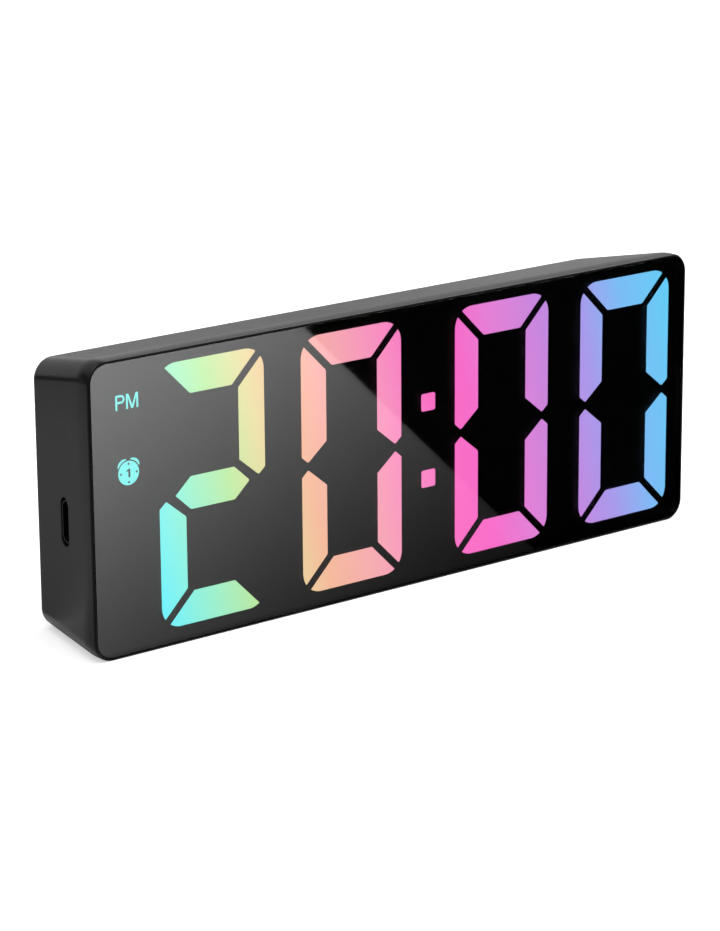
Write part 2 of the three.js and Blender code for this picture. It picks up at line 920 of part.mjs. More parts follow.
// A cell along X with its raised end at the left
function cell() {
  const body = cellDiameter / 2;
  const start = -(cellLength + cellNubLength) / 2;
  const end = -start;
  const solid = turned([
    [0, start],
    [cellNubDiameter / 2, start],
    [cellNubDiameter / 2, start + cellNubLength],
    [body - cellShoulder, start + cellNubLength],
    [body, start + cellNubLength + cellShoulder],
    [body, end - cellShoulder],
    [body - cellShoulder, end],
    [0, end],
  ], roundSides);
  return solid.rotate([0, 0, -90]);
}

// The bay end of each contact, on the side that its cell presses
function outerContacts() {
  const first = cellPlace(0);
  const last = cellPlace(cellCount - 1);
  return [
    { side: first.positiveSide, z: first.z },
    { side: -last.positiveSide, z: last.z },
  ].map(({ side, z }) => ({ side, z, x: bayX + side * (bayLength / 2) }));
}

// One contact plate on the bay's left wall with its face along +X, optionally bowed into a leaf
function contactPlate(leaf) {
  const height = contactHeight / 2;
  const plate = block([0, contactThickness], [-height, height], [-contactWidth / 2, contactWidth / 2]);
  if (!leaf) {
    return plate;
  }
  const points = [
    [contactThickness / 2, -contactHeight / 3],
    [contactThickness + leafBow, 0],
    [contactThickness / 2, contactHeight / 3],
    [contactThickness / 2, contactHeight / 3 - 2 * contactThickness],
    [leafBow, 0],
    [contactThickness / 2, -contactHeight / 3 + 2 * contactThickness],
  ].map(([x, y]) => new THREE.Vector2(x, y));
  const geometry = new THREE.ExtrudeGeometry(new THREE.Shape(points), {
    depth: contactTabWidth,
    bevelEnabled: false,
  });
  geometry.translate(0, 0, -contactTabWidth / 2);
  return plate.add(toSolid(geometry));
}

// The tab that carries the lead, through the wall behind the plate
function solderTab() {
  const reach = bayWall + contactTabReach + sheetGap;
  const low = contactTabLift - cellClearance - cellDiameter / 2;
  return block(
    [-reach, contactThickness],
    [low, low + contactThickness],
    [-contactTabWidth / 2, contactTabWidth / 2],
  );
}

function outerContact(leaf) {
  return contactPlate(leaf).add(solderTab());
}

// A contact is made for the left wall, and mirrored for the right one
function facing(solid, side) {
  return side > 0 ? solid.mirror([1, 0, 0]) : solid;
}

// A link joins the plate of one cell to the leaf of the next
function linkContact() {
  const bridge = block(
    [0, contactThickness],
    [-contactTabWidth / 2, contactTabWidth / 2],
    [-cellPitch, 0],
  );
  return join(contactPlate(false), [bridge, contactPlate(true).translate([0, 0, -cellPitch])]);
}

function screw(headDiameter, headThickness, diameter, length) {
  const radius = diameter / 2;
  const head = headDiameter / 2;
  const body = turned([
    [0, -length],
    [radius * screwPoint, -length],
    [radius, -length + diameter],
    [radius, 0],
    [head, 0],
    [head, headThickness * screwHeadSide],
    [head * screwHeadFlat, headThickness],
    [0, headThickness],
  ], smallSides);
  const slotHalf = crossSlotWidth / 2;
  const arm = head * crossSlotReach;
  const depth = [headThickness - crossSlotDepth, headThickness + overshoot];
  return cut(body, [
    block([-arm, arm], depth, [-slotHalf, slotHalf]),
    block([-slotHalf, slotHalf], depth, [-arm, arm]),
  ]);
}

// A lead from a contact's tab, out, and down to its pad on the board
function lead(contact) {
  const radius = leadDiameter / 2;
  const startX = contact.x + contact.side * (bayWall + contactTabReach + fitGap);
  const startY = frontY + bayFloorBack + contactTabLift + contactThickness / 2;
  const endY = boardRearY + fitGap;
  const path = new THREE.CatmullRomCurve3([
    new THREE.Vector3(startX, startY, contact.z),
    new THREE.Vector3(startX + contact.side * leadStraight, startY, contact.z),
    new THREE.Vector3(startX + contact.side * leadBend, startY - leadDip, contact.z),
    new THREE.Vector3(startX + contact.side * leadRun, (startY + endY) / 2, contact.z),
    new THREE.Vector3(startX + contact.side * leadRun, endY, contact.z),
  ]);
  const section = new THREE.Shape();
  section.absarc(0, 0, radius, 0, 2 * Math.PI);
  const geometry = new THREE.ExtrudeGeometry(section, {
    steps: 12,
    curveSegments: 4,
    extrudePath: path,
  });
  return toSolid(geometry);
}

addPiece('main_case', mainCase(), caseBlack);
addPiece('front_panel', frontPanel(), gloss);
addPiece('panel_tape', panelTape(), tapeGrey);
addPiece('display_mask', displayMask(), maskBlack);
addPiece('rainbow_film', rainbowFilm(), filmTint);
addPiece('reflector', reflector(), reflectorWhite);
addPiece('display_board', displayBoard(), boardGreen);
addPiece('rear_cover', rearCover(), coverBlack);
addPiece('battery_door', batteryDoor(), coverBlack);

const seatY = boardRearY + sheetGap;
addPiece('controller_chip', controllerChip(), chipBlack, componentX, seatY, chipFromBottom);
addPiece('crystal', crystal(), steel, componentX, seatY, crystalFromBottom);
addPiece('capacitor', rod(capacitorDiameter, 0, capacitorHeight), steel,
  componentX, seatY, capacitorFromBottom);
addPiece('buzzer', buzzer(), chipBlack, buzzerX, seatY, buzzerFromBottom);
addPiece('socket_shell', socketShell(), steel, leftX + socketRecess, socketY, socketFromBottom);
addPiece('socket_tongue', socketTongue(), chipBlack, leftX + socketRecess, socketY, socketFromBottom);

buttonPlaces().forEach((x, index) => {
  const name = buttonNames[index];
  addPiece(`switch_${name}`, switchHousing(), chipBlack, x, seatY, buttonZ);
  addPiece(`plunger_${name}`, switchPlunger(), coverBlack, x, seatY, buttonZ);
  addPiece(`button_${name}`, button(), coverBlack, x, boardRearY, buttonZ);
});

for (let index = 0; index < cellCount; index++) {
  const { x, y, z, positiveSide } = cellPlace(index);
  const mesh = addPiece(`battery_cell_${index + 1}`, cell(), cellGrey, x, y, z);
  mesh.rotation.z = positiveSide < 0 ? 0 : Math.PI;
}

const cellY = cellPlace(0).y;
outerContacts().forEach((contact, index) => {
  const name = index === 0 ? 'contact_plus' : 'contact_minus';
  const x = contact.x - contact.side * sheetGap;
  const solid = facing(outerContact(index === 1), contact.side);
  addPiece(name, solid, nickel, x, cellY, contact.z);
});

for (let index = 0; index + 1 < cellCount; index++) {
  const side = -cellPlace(index).positiveSide;
  const x = bayX + side * (bayLength / 2 - sheetGap);
  const solid = facing(linkContact(), side);
  addPiece(`contact_link_${index + 1}`, solid, nickel, x, cellY, cellPlace(index).z);
}

bosses.forEach(([x, z], index) => {
  const y = coverBackY - caseScrewHeadThickness - caseScrewSink;
  const solid = screw(caseScrewHeadDiameter, caseScrewHeadThickness, caseScrewDiameter, caseScrewLength);
  addPiece(`case_screw_${index + 1}`, solid, screwBlack, x, y, z);
});

boardScrewPlaces().forEach(([x, z], index) => {
  const solid = screw(
    boardScrewHeadDiameter, boardScrewHeadThickness, boardScrewDiameter,
    boardScrewLength + boardThickness - fitGap);
  addPiece(`board_screw_${index + 1}`, solid, steel, x, seatY, z);
});

const [plusContact, minusContact] = outerContacts();
addPiece('lead_plus', lead(plusContact), redCord);
addPiece('lead_minus', lead(minusContact), blackCord);

export default clock;
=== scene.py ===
import json
import math

import bmesh
import bpy
from mathutils import Matrix, Vector

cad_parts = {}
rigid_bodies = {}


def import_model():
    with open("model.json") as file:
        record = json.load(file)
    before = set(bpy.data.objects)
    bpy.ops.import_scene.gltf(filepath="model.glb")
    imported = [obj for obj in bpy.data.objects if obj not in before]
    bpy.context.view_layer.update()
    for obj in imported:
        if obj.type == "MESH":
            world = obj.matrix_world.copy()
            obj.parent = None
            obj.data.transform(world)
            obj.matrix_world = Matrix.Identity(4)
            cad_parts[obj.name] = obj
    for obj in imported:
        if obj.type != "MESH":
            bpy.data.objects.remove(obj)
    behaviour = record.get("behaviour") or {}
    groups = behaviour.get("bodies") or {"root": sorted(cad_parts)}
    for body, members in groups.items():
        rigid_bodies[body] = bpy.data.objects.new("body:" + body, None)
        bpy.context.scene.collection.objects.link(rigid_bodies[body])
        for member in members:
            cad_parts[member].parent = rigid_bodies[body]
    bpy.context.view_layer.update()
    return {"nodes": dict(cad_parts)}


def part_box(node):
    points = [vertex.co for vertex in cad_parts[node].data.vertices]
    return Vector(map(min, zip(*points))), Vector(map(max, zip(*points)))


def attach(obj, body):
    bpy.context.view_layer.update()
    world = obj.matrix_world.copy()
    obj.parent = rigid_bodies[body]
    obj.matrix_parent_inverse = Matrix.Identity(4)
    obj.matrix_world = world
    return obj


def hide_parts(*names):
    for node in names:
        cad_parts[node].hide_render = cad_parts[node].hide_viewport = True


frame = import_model()
scene = bpy.context.scene
mm = 0.001
hair = 0.01         # millimetres that keep neighbouring points or faces apart
clockBody = "clock_body"
print("frame loaded")


class Sock:
    # An output socket that takes part in arithmetic; every operator adds a Math node
    def __init__(self, tree, socket):
        self.tree = tree
        self.socket = socket

    def math(self, operation, first, second=0.0):
        return self.tree.node("ShaderNodeMath", {"operation": operation}, {0: first, 1: second})

    def __add__(self, other):
        return self.math("ADD", self, other)

    def __radd__(self, other):
        return self.math("ADD", other, self)

    def __sub__(self, other):
        return self.math("SUBTRACT", self, other)

    def __rsub__(self, other):
        return self.math("SUBTRACT", other, self)

    def __mul__(self, other):
        return self.math("MULTIPLY", self, other)

    def __rmul__(self, other):
        return self.math("MULTIPLY", other, self)

    def __truediv__(self, other):
        return self.math("DIVIDE", self, other)

    def __rtruediv__(self, other):
        return self.math("DIVIDE", other, self)

    def __gt__(self, other):
        return self.math("GREATER_THAN", self, other)

    def __lt__(self, other):
        return self.math("LESS_THAN", self, other)

    def __pow__(self, other):
        return self.math("POWER", self, other)

    def size(self):
        return self.math("ABSOLUTE", self)

    def exponential(self):
        return self.math("EXPONENT", self)

    def directionWith(self, across):
        # The direction, in degrees, of a point this far up and that far across
        return self.math("ARCTAN2", self, across) * (180 / math.pi)

    def clamped(self):
        return self.math("MAXIMUM", self.math("MINIMUM", self, 1.0), 0.0)


class Tree:
    # Adds nodes to a shader or geometry tree
    def __init__(self, nodeTree):
        self.nodes = nodeTree.nodes
        self.links = nodeTree.links

    def node(self, kind, settings=None, inputs=None, output=0):
        made = self.nodes.new(kind)
        for key, value in (settings or {}).items():
            if key == "stops":
                self.fillRamp(made.color_ramp, value)
            else:
                setattr(made, key, value)
        for key, value in (inputs or {}).items():
            if isinstance(value, Sock):
                self.links.new(value.socket, made.inputs[key])
            else:
                made.inputs[key].default_value = value
        return Sock(self, made.outputs[output]) if made.outputs else None

    def fillRamp(self, ramp, stops):
        while len(ramp.elements) < len(stops):
            ramp.elements.new(0.5)
        for element, (place, colour) in zip(ramp.elements, stops):
            element.position = place
            element.color = colour

    def outputsOf(self, sock):
        # Every output of the node that a socket belongs to
        return [Sock(self, output) for output in sock.socket.node.outputs]

    def axes(self, coordinates="Object"):
        # The x, y and z of one kind of coordinates
        place = self.node("ShaderNodeTexCoord", output=coordinates)
        return self.outputsOf(self.node("ShaderNodeSeparateXYZ", inputs={0: place}))

    def noise(self, scale, detail=2.0, stretch=(1, 1, 1)):
        place = self.node("ShaderNodeTexCoord", output="Object")
        if stretch != (1, 1, 1):
            place = self.node("ShaderNodeMapping", inputs={"Vector": place, "Scale": stretch})
        return self.node("ShaderNodeTexNoise", inputs={"Vector": place, "Scale": scale, "Detail": detail})

    def ray(self, kind):
        return self.node("ShaderNodeLightPath", output=f"Is {kind} Ray")

    def mixColour(self, factor, first, second):
        inputs = {0: factor, 6: first, 7: second}
        return self.node("ShaderNodeMix", {"data_type": "RGBA"}, inputs, output=2)

    def ramp(self, factor, stops):
        return self.node("ShaderNodeValToRGB", {"stops": stops}, {0: factor})

    def bump(self, height, depth, strength):
        # depth is in millimetres
        inputs = {"Strength": strength, "Distance": depth * mm, "Height": height}
        return self.node("ShaderNodeBump", inputs=inputs)


def linear(red, green, blue):
    # A screen colour in 0 to 255 as linear light
    def channel(value):
        share = value / 255
        return share / 12.92 if share <= 0.04045 else ((share + 0.055) / 1.055) ** 2.4
    return (channel(red), channel(green), channel(blue), 1.0)


black = (0.0, 0.0, 0.0, 1.0)
white = (1.0, 1.0, 1.0, 1.0)


def shaded(tone, share):
    # A tone made darker or lighter by a share
    return [channel * share for channel in tone[:3]] + [1.0]


def makeMaterial(name, fixed, varying=None):
    # fixed sets the shader's own sockets; varying takes the tree and returns sockets to link
    made = bpy.data.materials.new(name)
    made.use_nodes = True
    tree = Tree(made.node_tree)
    shader = made.node_tree.nodes["Principled BSDF"]
    for key, value in fixed.items():
        shader.inputs[key].default_value = value
    for key, sock in (varying(tree) if varying else {}).items():
        tree.links.new(sock.socket, shader.inputs[key])
    return made


def grainedPlastic(name, look):
    # Moulded plastic: broad mottling in tone and gloss over a fine spark-eroded grain
    def varying(tree):
        broad = tree.noise(look["mottleScale"], detail=3.0)
        fine = tree.noise(look["grainScale"])
        dark, light = (shaded(look["tone"], 1 + side * look["mottle"]) for side in (-1, 1))
        return {
            "Base Color": tree.mixColour(broad, dark, light),
            "Roughness": look["roughness"] + (broad - 0.5) * look["roughnessSpread"],
            "Normal": tree.bump(fine, look["grainDepth"], look["grainStrength"]),
        }
    return makeMaterial(name, {"Specular IOR Level": look["specular"]}, varying)


metalLook = {
    "streakScale": 900.0,
    "streakDepth": 0.01,
    "streakStrength": 0.4,
    "roughnessSpread": 0.25,
    "blotchScale": 500.0,
    "blotchShade": 0.8,
}


def platedMetal(name, tone, roughness, streak):
    # Drawn or stamped metal: fine streaks across the grain of the sheet
    def varying(tree):
        streaks = tree.noise(metalLook["streakScale"], detail=3.0, stretch=streak)
        blotches = tree.noise(metalLook["blotchScale"])
        return {
            "Base Color": tree.mixColour(blotches, shaded(tone, metalLook["blotchShade"]), tone),
            "Roughness": roughness + (streaks - 0.5) * metalLook["roughnessSpread"],
            "Normal": tree.bump(streaks, metalLook["streakDepth"], metalLook["streakStrength"]),
        }
    return makeMaterial(name, {"Metallic": 1.0}, varying)


plasticLook = {
    "tone": linear(16, 16, 17),
    "mottle": 0.06,
    "mottleScale": 35.0,
    "roughness": 0.28,
    "roughnessSpread": 0.08,
    "specular": 0.36,
    "grainScale": 5200.0,
    "grainDepth": 0.02,
    "grainStrength": 0.25,
}
casePlastic = grainedPlastic("casePlastic", plasticLook)
coverPlastic = grainedPlastic("coverPlastic", dict(
    plasticLook, tone=linear(40, 40, 41), roughness=0.55,
    grainScale=3200.0, grainDepth=0.05, grainStrength=0.5))
buttonPlastic = grainedPlastic("buttonPlastic", dict(
    plasticLook, tone=linear(36, 36, 38), roughness=0.38, grainStrength=0.1))
resinPlastic = grainedPlastic("resinPlastic", dict(
    plasticLook, tone=linear(28, 28, 30), roughness=0.5, grainScale=4000.0))
whitePlastic = grainedPlastic("whitePlastic", dict(
    plasticLook, tone=linear(236, 235, 230), mottle=0.02, roughness=0.42))
tapeFoam = grainedPlastic("tapeFoam", dict(
    plasticLook, tone=linear(10, 10, 10), roughness=0.9,
    grainScale=2500.0, grainDepth=0.08, grainStrength=1.0))
maskFilm = grainedPlastic("maskFilm", dict(
    plasticLook, tone=linear(4, 4, 4), roughness=0.6, grainStrength=0.0))
printInk = grainedPlastic("printInk", dict(
    plasticLook, tone=linear(176, 178, 180), mottle=0.04, roughness=0.5, grainScale=6000.0))
nickel = platedMetal("nickel", linear(205, 200, 190), 0.28, (1, 1, 8))
brightSteel = platedMetal("brightSteel", linear(190, 190, 194), 0.32, (1, 6, 1))
darkSteel = platedMetal("darkSteel", linear(58, 58, 60), 0.4, (6, 1, 1))
blackZinc = platedMetal("blackZinc", linear(72, 72, 76), 0.36, (1, 4, 1))
canAluminium = platedMetal("canAluminium", linear(196, 198, 202), 0.38, (1, 8, 1))


paneLook = {
    "tint": 0.45,       # light that passes the smoked acrylic
    "cloud": 0.03,      # how much darker its darkest cloud is
    "cloudScale": 18.0,
    "blue": 0.01,
    "ior": 1.75,
    "roughness": 0.02,
    "smear": 0.02,      # faint change of gloss over the pane
    "cutEdge": 0.5,     # a normal that leans from y by more than this is on a cut edge
}


def makePaneMaterial():
    # Clear through its two faces; the cut edges all round are black, a painted shade that keeps light from
    # reflecting inside the pane's rim
    def varying(tree):
        cloud = tree.noise(paneLook["cloudScale"], detail=3.0)
        shade = paneLook["tint"]
        low = shaded((shade, shade, shade), 1 - paneLook["cloud"])
        high = (shade, shade, shade * (1 + paneLook["blue"]), 1.0)
        # the black cut edges are painted shade over the pane's inner reflections
        edgeShade = tree.axes("Normal")[1].size() < paneLook["cutEdge"]
        return {
            "Base Color": tree.mixColour(edgeShade, tree.mixColour(cloud, low, high), black),
            "Metallic": edgeShade,
            "Roughness": paneLook["roughness"] + cloud * paneLook["smear"],
        }
    return makeMaterial("smokedPane", {"IOR": paneLook["ior"], "Transmission Weight": 1.0}, varying)


smokedPane = makePaneMaterial()


# The colours of the lit display along a line that leans from lower left to upper right
rainbow = {
    "lean": 0.24,       # millimetres of travel along the rainbow for each one upwards
    "start": 10.0,
    "end": 175.0,
    "strength": 2.6,    # makes up for the smoked pane in front
    "off": 0.02,        # tone of a lit surface by itself
    "speck": 0.06,
    "speckScale": 1600.0,
    "unlit": 0.005,     # share of the colour that the unlit film keeps
    "unlitRoughness": 0.57,
    "unlitSpread": 0.06,
    "unlitScale": 900.0,
    "marker": (106, 235, 229),
    "stops": [
        (20, (90, 238, 246)),
        (32, (144, 236, 200)),
        (42, (180, 230, 154)),
        (52, (228, 214, 150)),
        (62, (243, 182, 148)),
        (76, (246, 164, 175)),
        (88, (250, 138, 194)),
        (98, (252, 104, 196)),
        (108, (248, 100, 200)),
        (118, (228, 123, 214)),
        (132, (198, 131, 223)),
        (144, (165, 152, 237)),
        (156, (117, 188, 248)),
        (170, (94, 205, 248)),
    ],
}


def limits(name):
    # The lowest and the highest corner of a CAD piece, in millimetres
    return [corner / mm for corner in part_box(name)]


def middleOf(name):
    low, high = limits(name)
    return (low + high) / 2


caseLow, caseHigh = limits("main_case")
frontY, backY = caseLow.y, caseHigh.y
leftX = caseLow.x
caseWidth = caseHigh.x - caseLow.x
caseHeight = caseHigh.z - caseLow.z
caseDepth = backY - frontY
middleZ = caseHeight / 2


def rainbowColour(tree):
    across, _, up = tree.axes()
    travel = across / mm + caseWidth / 2 + up / mm * rainbow["lean"]
    span = rainbow["end"] - rainbow["start"]
    stops = [((place - rainbow["start"]) / span, linear(*colour)) for place, colour in rainbow["stops"]]
    return tree.ramp((travel - rainbow["start"]) / span, stops)


def makeGlowMaterial(name, colourOf):
    # A lit surface: near-black plastic that gives off an even colour
    def varying(tree):
        speck = tree.noise(rainbow["speckScale"])
        lit = tree.mixColour(speck * rainbow["speck"], colourOf(tree), white)
        return {"Emission Color": lit, "Roughness": 0.5 + speck * 0.1}
    fixed = {"Base Color": shaded(white, rainbow["off"]), "Emission Strength": rainbow["strength"]}
    return makeMaterial(name, fixed, varying)


segmentGlow = makeGlowMaterial("segmentGlow", rainbowColour)
markerGlow = makeGlowMaterial("markerGlow", lambda tree: linear(*rainbow["marker"]))


def makeFilmMaterial():
    # The unlit tinted film: the same rainbow, very dark
    def varying(tree):
        shade = tree.mixColour(1 - rainbow["unlit"], rainbowColour(tree), black)
        speck = tree.noise(rainbow["unlitScale"])
        return {"Base Color": shade, "Roughness": rainbow["unlitRoughness"] + speck * rainbow["unlitSpread"]}
    return makeMaterial("unlitFilm", {"Specular IOR Level": plasticLook["specular"]}, varying)


boardLook = {
    "lampHeight": 0.8,
    "trackScale": 320.0,
    "trackBend": 6.0,
    "trackFrom": 0.72,
    "trackDepth": 0.03,
    "trackStrength": 0.6,
    "roughness": 0.32,
    "roughnessSpread": 0.15,
    "speckScale": 700.0,
    "resist": linear(18, 74, 40),
    "track": linear(34, 104, 58),
    "lamp": linear(246, 240, 205),
}


def makeBoardMaterial():
    # Green solder resist with faint tracks; whatever stands proud of the front face is a lamp
    front = limits("display_board")[0].y + boardLook["lampHeight"] - hair

    def varying(tree):
        lamp = tree.axes()[1] < front * mm
        wave = tree.node("ShaderNodeTexWave", {"bands_direction": "Z"}, {
            "Vector": tree.node("ShaderNodeTexCoord", output="Object"),
            "Scale": boardLook["trackScale"], "Distortion": boardLook["trackBend"]}, output=1)
        tracks = wave > boardLook["trackFrom"]
        speck = tree.noise(boardLook["speckScale"])
        resist = tree.mixColour(tracks, boardLook["resist"], boardLook["track"])
        return {
            "Base Color": tree.mixColour(lamp, resist, boardLook["lamp"]),
            "Roughness": boardLook["roughness"] + speck * boardLook["roughnessSpread"],
            "Normal": tree.bump(tracks, boardLook["trackDepth"], boardLook["trackStrength"]),
        }
    return makeMaterial("circuitBoard", {}, varying)


wireLook = {"speckScale": 1200.0, "paler": 1.25, "dust": 0.01, "roughness": 0.38, "roughnessSpread": 0.15}


def makeWireMaterial(name, tone):
    # Glossy insulation with faint paler specks
    def varying(tree):
        speck = tree.noise(wireLook["speckScale"])
        pale = [channel * wireLook["paler"] + wireLook["dust"] for channel in tone[:3]] + [1.0]
        return {
            "Base Color": tree.mixColour(speck, tone, pale),
            "Roughness": wireLook["roughness"] + speck * wireLook["roughnessSpread"],
        }
    return makeMaterial(name, {}, varying)


unlitFilm = makeFilmMaterial()
circuitBoard = makeBoardMaterial()
redWire = makeWireMaterial("redWire", linear(176, 22, 20))
blackWire = makeWireMaterial("blackWire", linear(18, 18, 19))
print("materials made")


def linkObject(name, data):
    made = bpy.data.objects.new(name, data)
    scene.collection.objects.link(made)
    return made


def meshFrom(name, bm, outward=True):
    # A mesh from its edit form; outward turns every face of a fresh shape to face out
    if outward:
        bmesh.ops.recalc_face_normals(bm, faces=bm.faces[:])
    mesh = bpy.data.meshes.new(name)
    bm.to_mesh(mesh)
    bm.free()
    return mesh


def bakeModifiers(piece):
    # Keeps what the modifiers make as a plain mesh
    scene.view_layers[0].update()
    evaluated = piece.evaluated_get(bpy.context.evaluated_depsgraph_get())
    baked = bpy.data.meshes.new_from_object(evaluated)
    piece.modifiers.clear()
    old = piece.data
    piece.data = baked
    bpy.data.meshes.remove(old)
    return piece


def boolean(piece, tool, operation):
    step = piece.modifiers.new(operation, "BOOLEAN")
    step.operation = operation
    step.solver = "EXACT"
    step.object = tool
    bakeModifiers(piece)
    bpy.data.objects.remove(tool)


sharpFrom = 32      # degrees between faces from which an edge is shaded sharp


def finishPiece(piece, material, replaced=(), body=clockBody, weighted=True):
    # Smooth shading, one material, and the piece's place in the frame
    mesh = piece.data
    mesh.polygons.foreach_set("use_smooth", [True] * len(mesh.polygons))
    mesh.set_sharp_from_angle(angle=math.radians(sharpFrom))
    if weighted:
        step = piece.modifiers.new("weightedNormals", "WEIGHTED_NORMAL")
        step.keep_sharp = True
        bakeModifiers(piece)
    piece.data.materials.clear()
    piece.data.materials.append(material)
    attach(piece, body)
    if replaced:
        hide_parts(*replaced)


def spread(start, end, steps):
    return [start + (end - start) * step / steps for step in range(steps + 1)]


def arc(centreX, centreZ, radius, start, end, steps):
    # Points along an arc between two directions in degrees
    turns = [math.radians(angle) for angle in spread(start, end, steps)]
    return [(centreX + radius * math.cos(turn), centreZ + radius * math.sin(turn)) for turn in turns]


def roundedOutline(width, height, radius, x=0.0, z=0.0, steps=6):
    # Points of a rounded rectangle in x and z, counter-clockwise
    points = []
    for cornerX, cornerZ, start in ((1, -1, -90), (1, 1, 0), (-1, 1, 90), (-1, -1, 180)):
        centreX = x + cornerX * (width / 2 - radius)
        centreZ = z + cornerZ * (height / 2 - radius)
        points += arc(centreX, centreZ, radius, start, start + 90, steps)
    return points


def loft(rings, closed=False):
    # Joins rings of equal count; the ends are capped unless the rings close on themselves
    bm = bmesh.new()
    made = [[bm.verts.new(point) for point in ring] for ring in rings]
    count = len(made[0])
    for near, far in zip(made, made[1:] + (made[:1] if closed else [])):
        for index in range(count):
            after = (index + 1) % count
            bm.faces.new((near[index], near[after], far[after], far[index]))
    if not closed:
        bm.faces.new(made[0])
        bm.faces.new(made[-1])
    return bm


def ringAt(outline, depth):
    # An outline in x and z as points at one depth
    return [Vector((x, depth, z)) * mm for x, z in outline]


def counterClockwise(outline):
    area = sum(a[0] * b[1] - b[0] * a[1] for a, b in zip(outline, outline[1:] + outline[:1]))
    return outline if area > 0 else outline[::-1]


def slabMesh(name, outline, front, back, edge=0.0):
    # A flat piece in x and z between two depths, with a small chamfer all round if it has an edge
    points = counterClockwise(outline)
    sections = [(points, front + edge), (points, back - edge)]
    if edge:
        inner = offsetOutline(points, edge)
        sections = [(inner, front)] + sections + [(inner, back)]
    return meshFrom(name, loft([ringAt(ring, depth) for ring, depth in sections]))


def corners(points):
    # Each point of an outline between its two neighbours
    count = len(points)
    return [[Vector(points[(index + shift) % count]) for shift in (-1, 0, 1)] for index in range(count)]


def offsetOutline(points, distance):
    # Moves every side of a counter-clockwise outline inwards
    inner = []
    for before, here, after in corners(points):
        first = (here - before).normalized()
        second = (after - here).normalized()
        normal = Vector((-first.y - second.y, first.x + second.x))
        scale = distance / max(0.2, 1 + first.dot(second))
        inner.append(tuple(here + normal * scale))
    return inner


leastTurn = 22      # degrees from which a bend in an outline counts as a corner


def softenCorners(points, radius):
    # Rounds every clear corner of an outline and leaves the points of its arcs
    rounded = []
    for before, here, after in corners(points):
        inward = (before - here).normalized()
        outward = (after - here).normalized()
        turn = math.pi - inward.angle(outward)
        if turn < math.radians(leastTurn):
            rounded.append(tuple(here))
            continue
        shorter = min((before - here).length, (after - here).length)
        reach = min(radius * math.tan(turn / 2), 0.45 * shorter)
        start, end = here + inward * reach, here + outward * reach
        for share in spread(0, 1, 4):
            rounded.append(tuple(start.lerp(here, share).lerp(here.lerp(end, share), share)))
    return rounded


def circleOutline(radius, x, z, steps=36):
    return arc(x, z, radius, 0, 360, steps)[:-1]


def turnedMesh(name, profile, steps, x=0.0, z=0.0):
    # A turned piece about Y from radius and depth pairs that start and end on the axis
    bm = bmesh.new()
    rings = []
    for radius, depth in profile:
        outline = circleOutline(radius, x, z, steps) if radius else [(x, z)]
        rings.append([bm.verts.new(point) for point in ringAt(outline, depth)])
    for near, far in zip(rings, rings[1:]):
        for step in range(steps):
            after = (step + 1) % steps
            face = []
            for ring, place in ((near, step), (near, after), (far, after), (far, step)):
                corner = ring[place % len(ring)]
                if corner not in face:
                    face.append(corner)
            bm.faces.new(face)
    return meshFrom(name, bm)


def joinedPiece(name, meshes):
    bm = bmesh.new()
    for mesh in meshes:
        bm.from_mesh(mesh)
        bpy.data.meshes.remove(mesh)
    return linkObject(name, meshFrom(name, bm, outward=False))


def softenedCopy(nodeName, pieceName, width):
    # The CAD piece's own shape, with its sharp moulded edges rounded
    bm = bmesh.new()
    bm.from_mesh(frame["nodes"][nodeName].data)
    bmesh.ops.remove_doubles(bm, verts=bm.verts[:], dist=0.001 * mm)
    bmesh.ops.dissolve_limit(bm, angle_limit=math.radians(0.5), verts=bm.verts[:], edges=bm.edges[:])
    piece = linkObject(pieceName, meshFrom(pieceName, bm, outward=False))
    step = piece.modifiers.new("edges", "BEVEL")
    step.width = width * mm
    step.segments = 2
    step.limit_method = "ANGLE"
    step.angle_limit = math.radians(30)
    step.use_clamp_overlap = True
    return bakeModifiers(piece)


def growthTree(name, sockets, place):
    # A geometry tree with named inputs: its copies are made real and given their material
    tree = bpy.data.node_groups.new(name, "GeometryNodeTree")
    for label, kind in sockets.items():
        tree.interface.new_socket(name=label, in_out="INPUT", socket_type=f"NodeSocket{kind}")
    tree.interface.new_socket(name="Finish", in_out="INPUT", socket_type="NodeSocketMaterial")
    tree.interface.new_socket(name="Copies", in_out="OUTPUT", socket_type="NodeSocketGeometry")
    maker = Tree(tree)
    given = maker.outputsOf(maker.node("NodeGroupInput"))
    *values, finish = given[:len(sockets) + 1]
    whole = maker.node("GeometryNodeRealizeInstances", inputs={"Geometry": place(maker, *values)})
    coloured = maker.node("GeometryNodeSetMaterial", inputs={"Geometry": whole, "Material": finish})
    maker.node("NodeGroupOutput", inputs={0: coloured})
    return tree


def spunCopies(maker, places, part):
    # Copies of one part at the vertices of a mesh, each spun about Z by its own angle
    source = maker.node(
        "GeometryNodeObjectInfo", {"transform_space": "ORIGINAL"}, {"Object": part}, "Geometry")
    spin = maker.node("GeometryNodeInputNamedAttribute", {"data_type": "FLOAT"}, {"Name": "spin"})
    turn = maker.node("ShaderNodeCombineXYZ", inputs={"Z": spin})
    return maker.node("GeometryNodeInstanceOnPoints", inputs={
        "Points": places, "Instance": source, "Rotation": turn})


def pickedSegments(maker, places, parts):
    # One of several parts at each vertex, chosen by the vertex's kind
    source = maker.node("GeometryNodeCollectionInfo", inputs={
        "Collection": parts, "Separate Children": True, "Reset Children": False})
    kind = maker.node("GeometryNodeInputNamedAttribute", {"data_type": "INT"}, {"Name": "kind"})
    return maker.node("GeometryNodeInstanceOnPoints", inputs={
        "Points": places, "Instance": source, "Pick Instance": True, "Instance Index": kind})


def ribsInLine(maker, rib, count, pitch):
    # A row of ribs, one above another
    apart = maker.node("ShaderNodeCombineXYZ", inputs={"Z": pitch})
    line = maker.node("GeometryNodeMeshLine", inputs={"Count": count, "Offset": apart})
    return maker.node("GeometryNodeInstanceOnPoints", inputs={"Points": line, "Instance": rib})


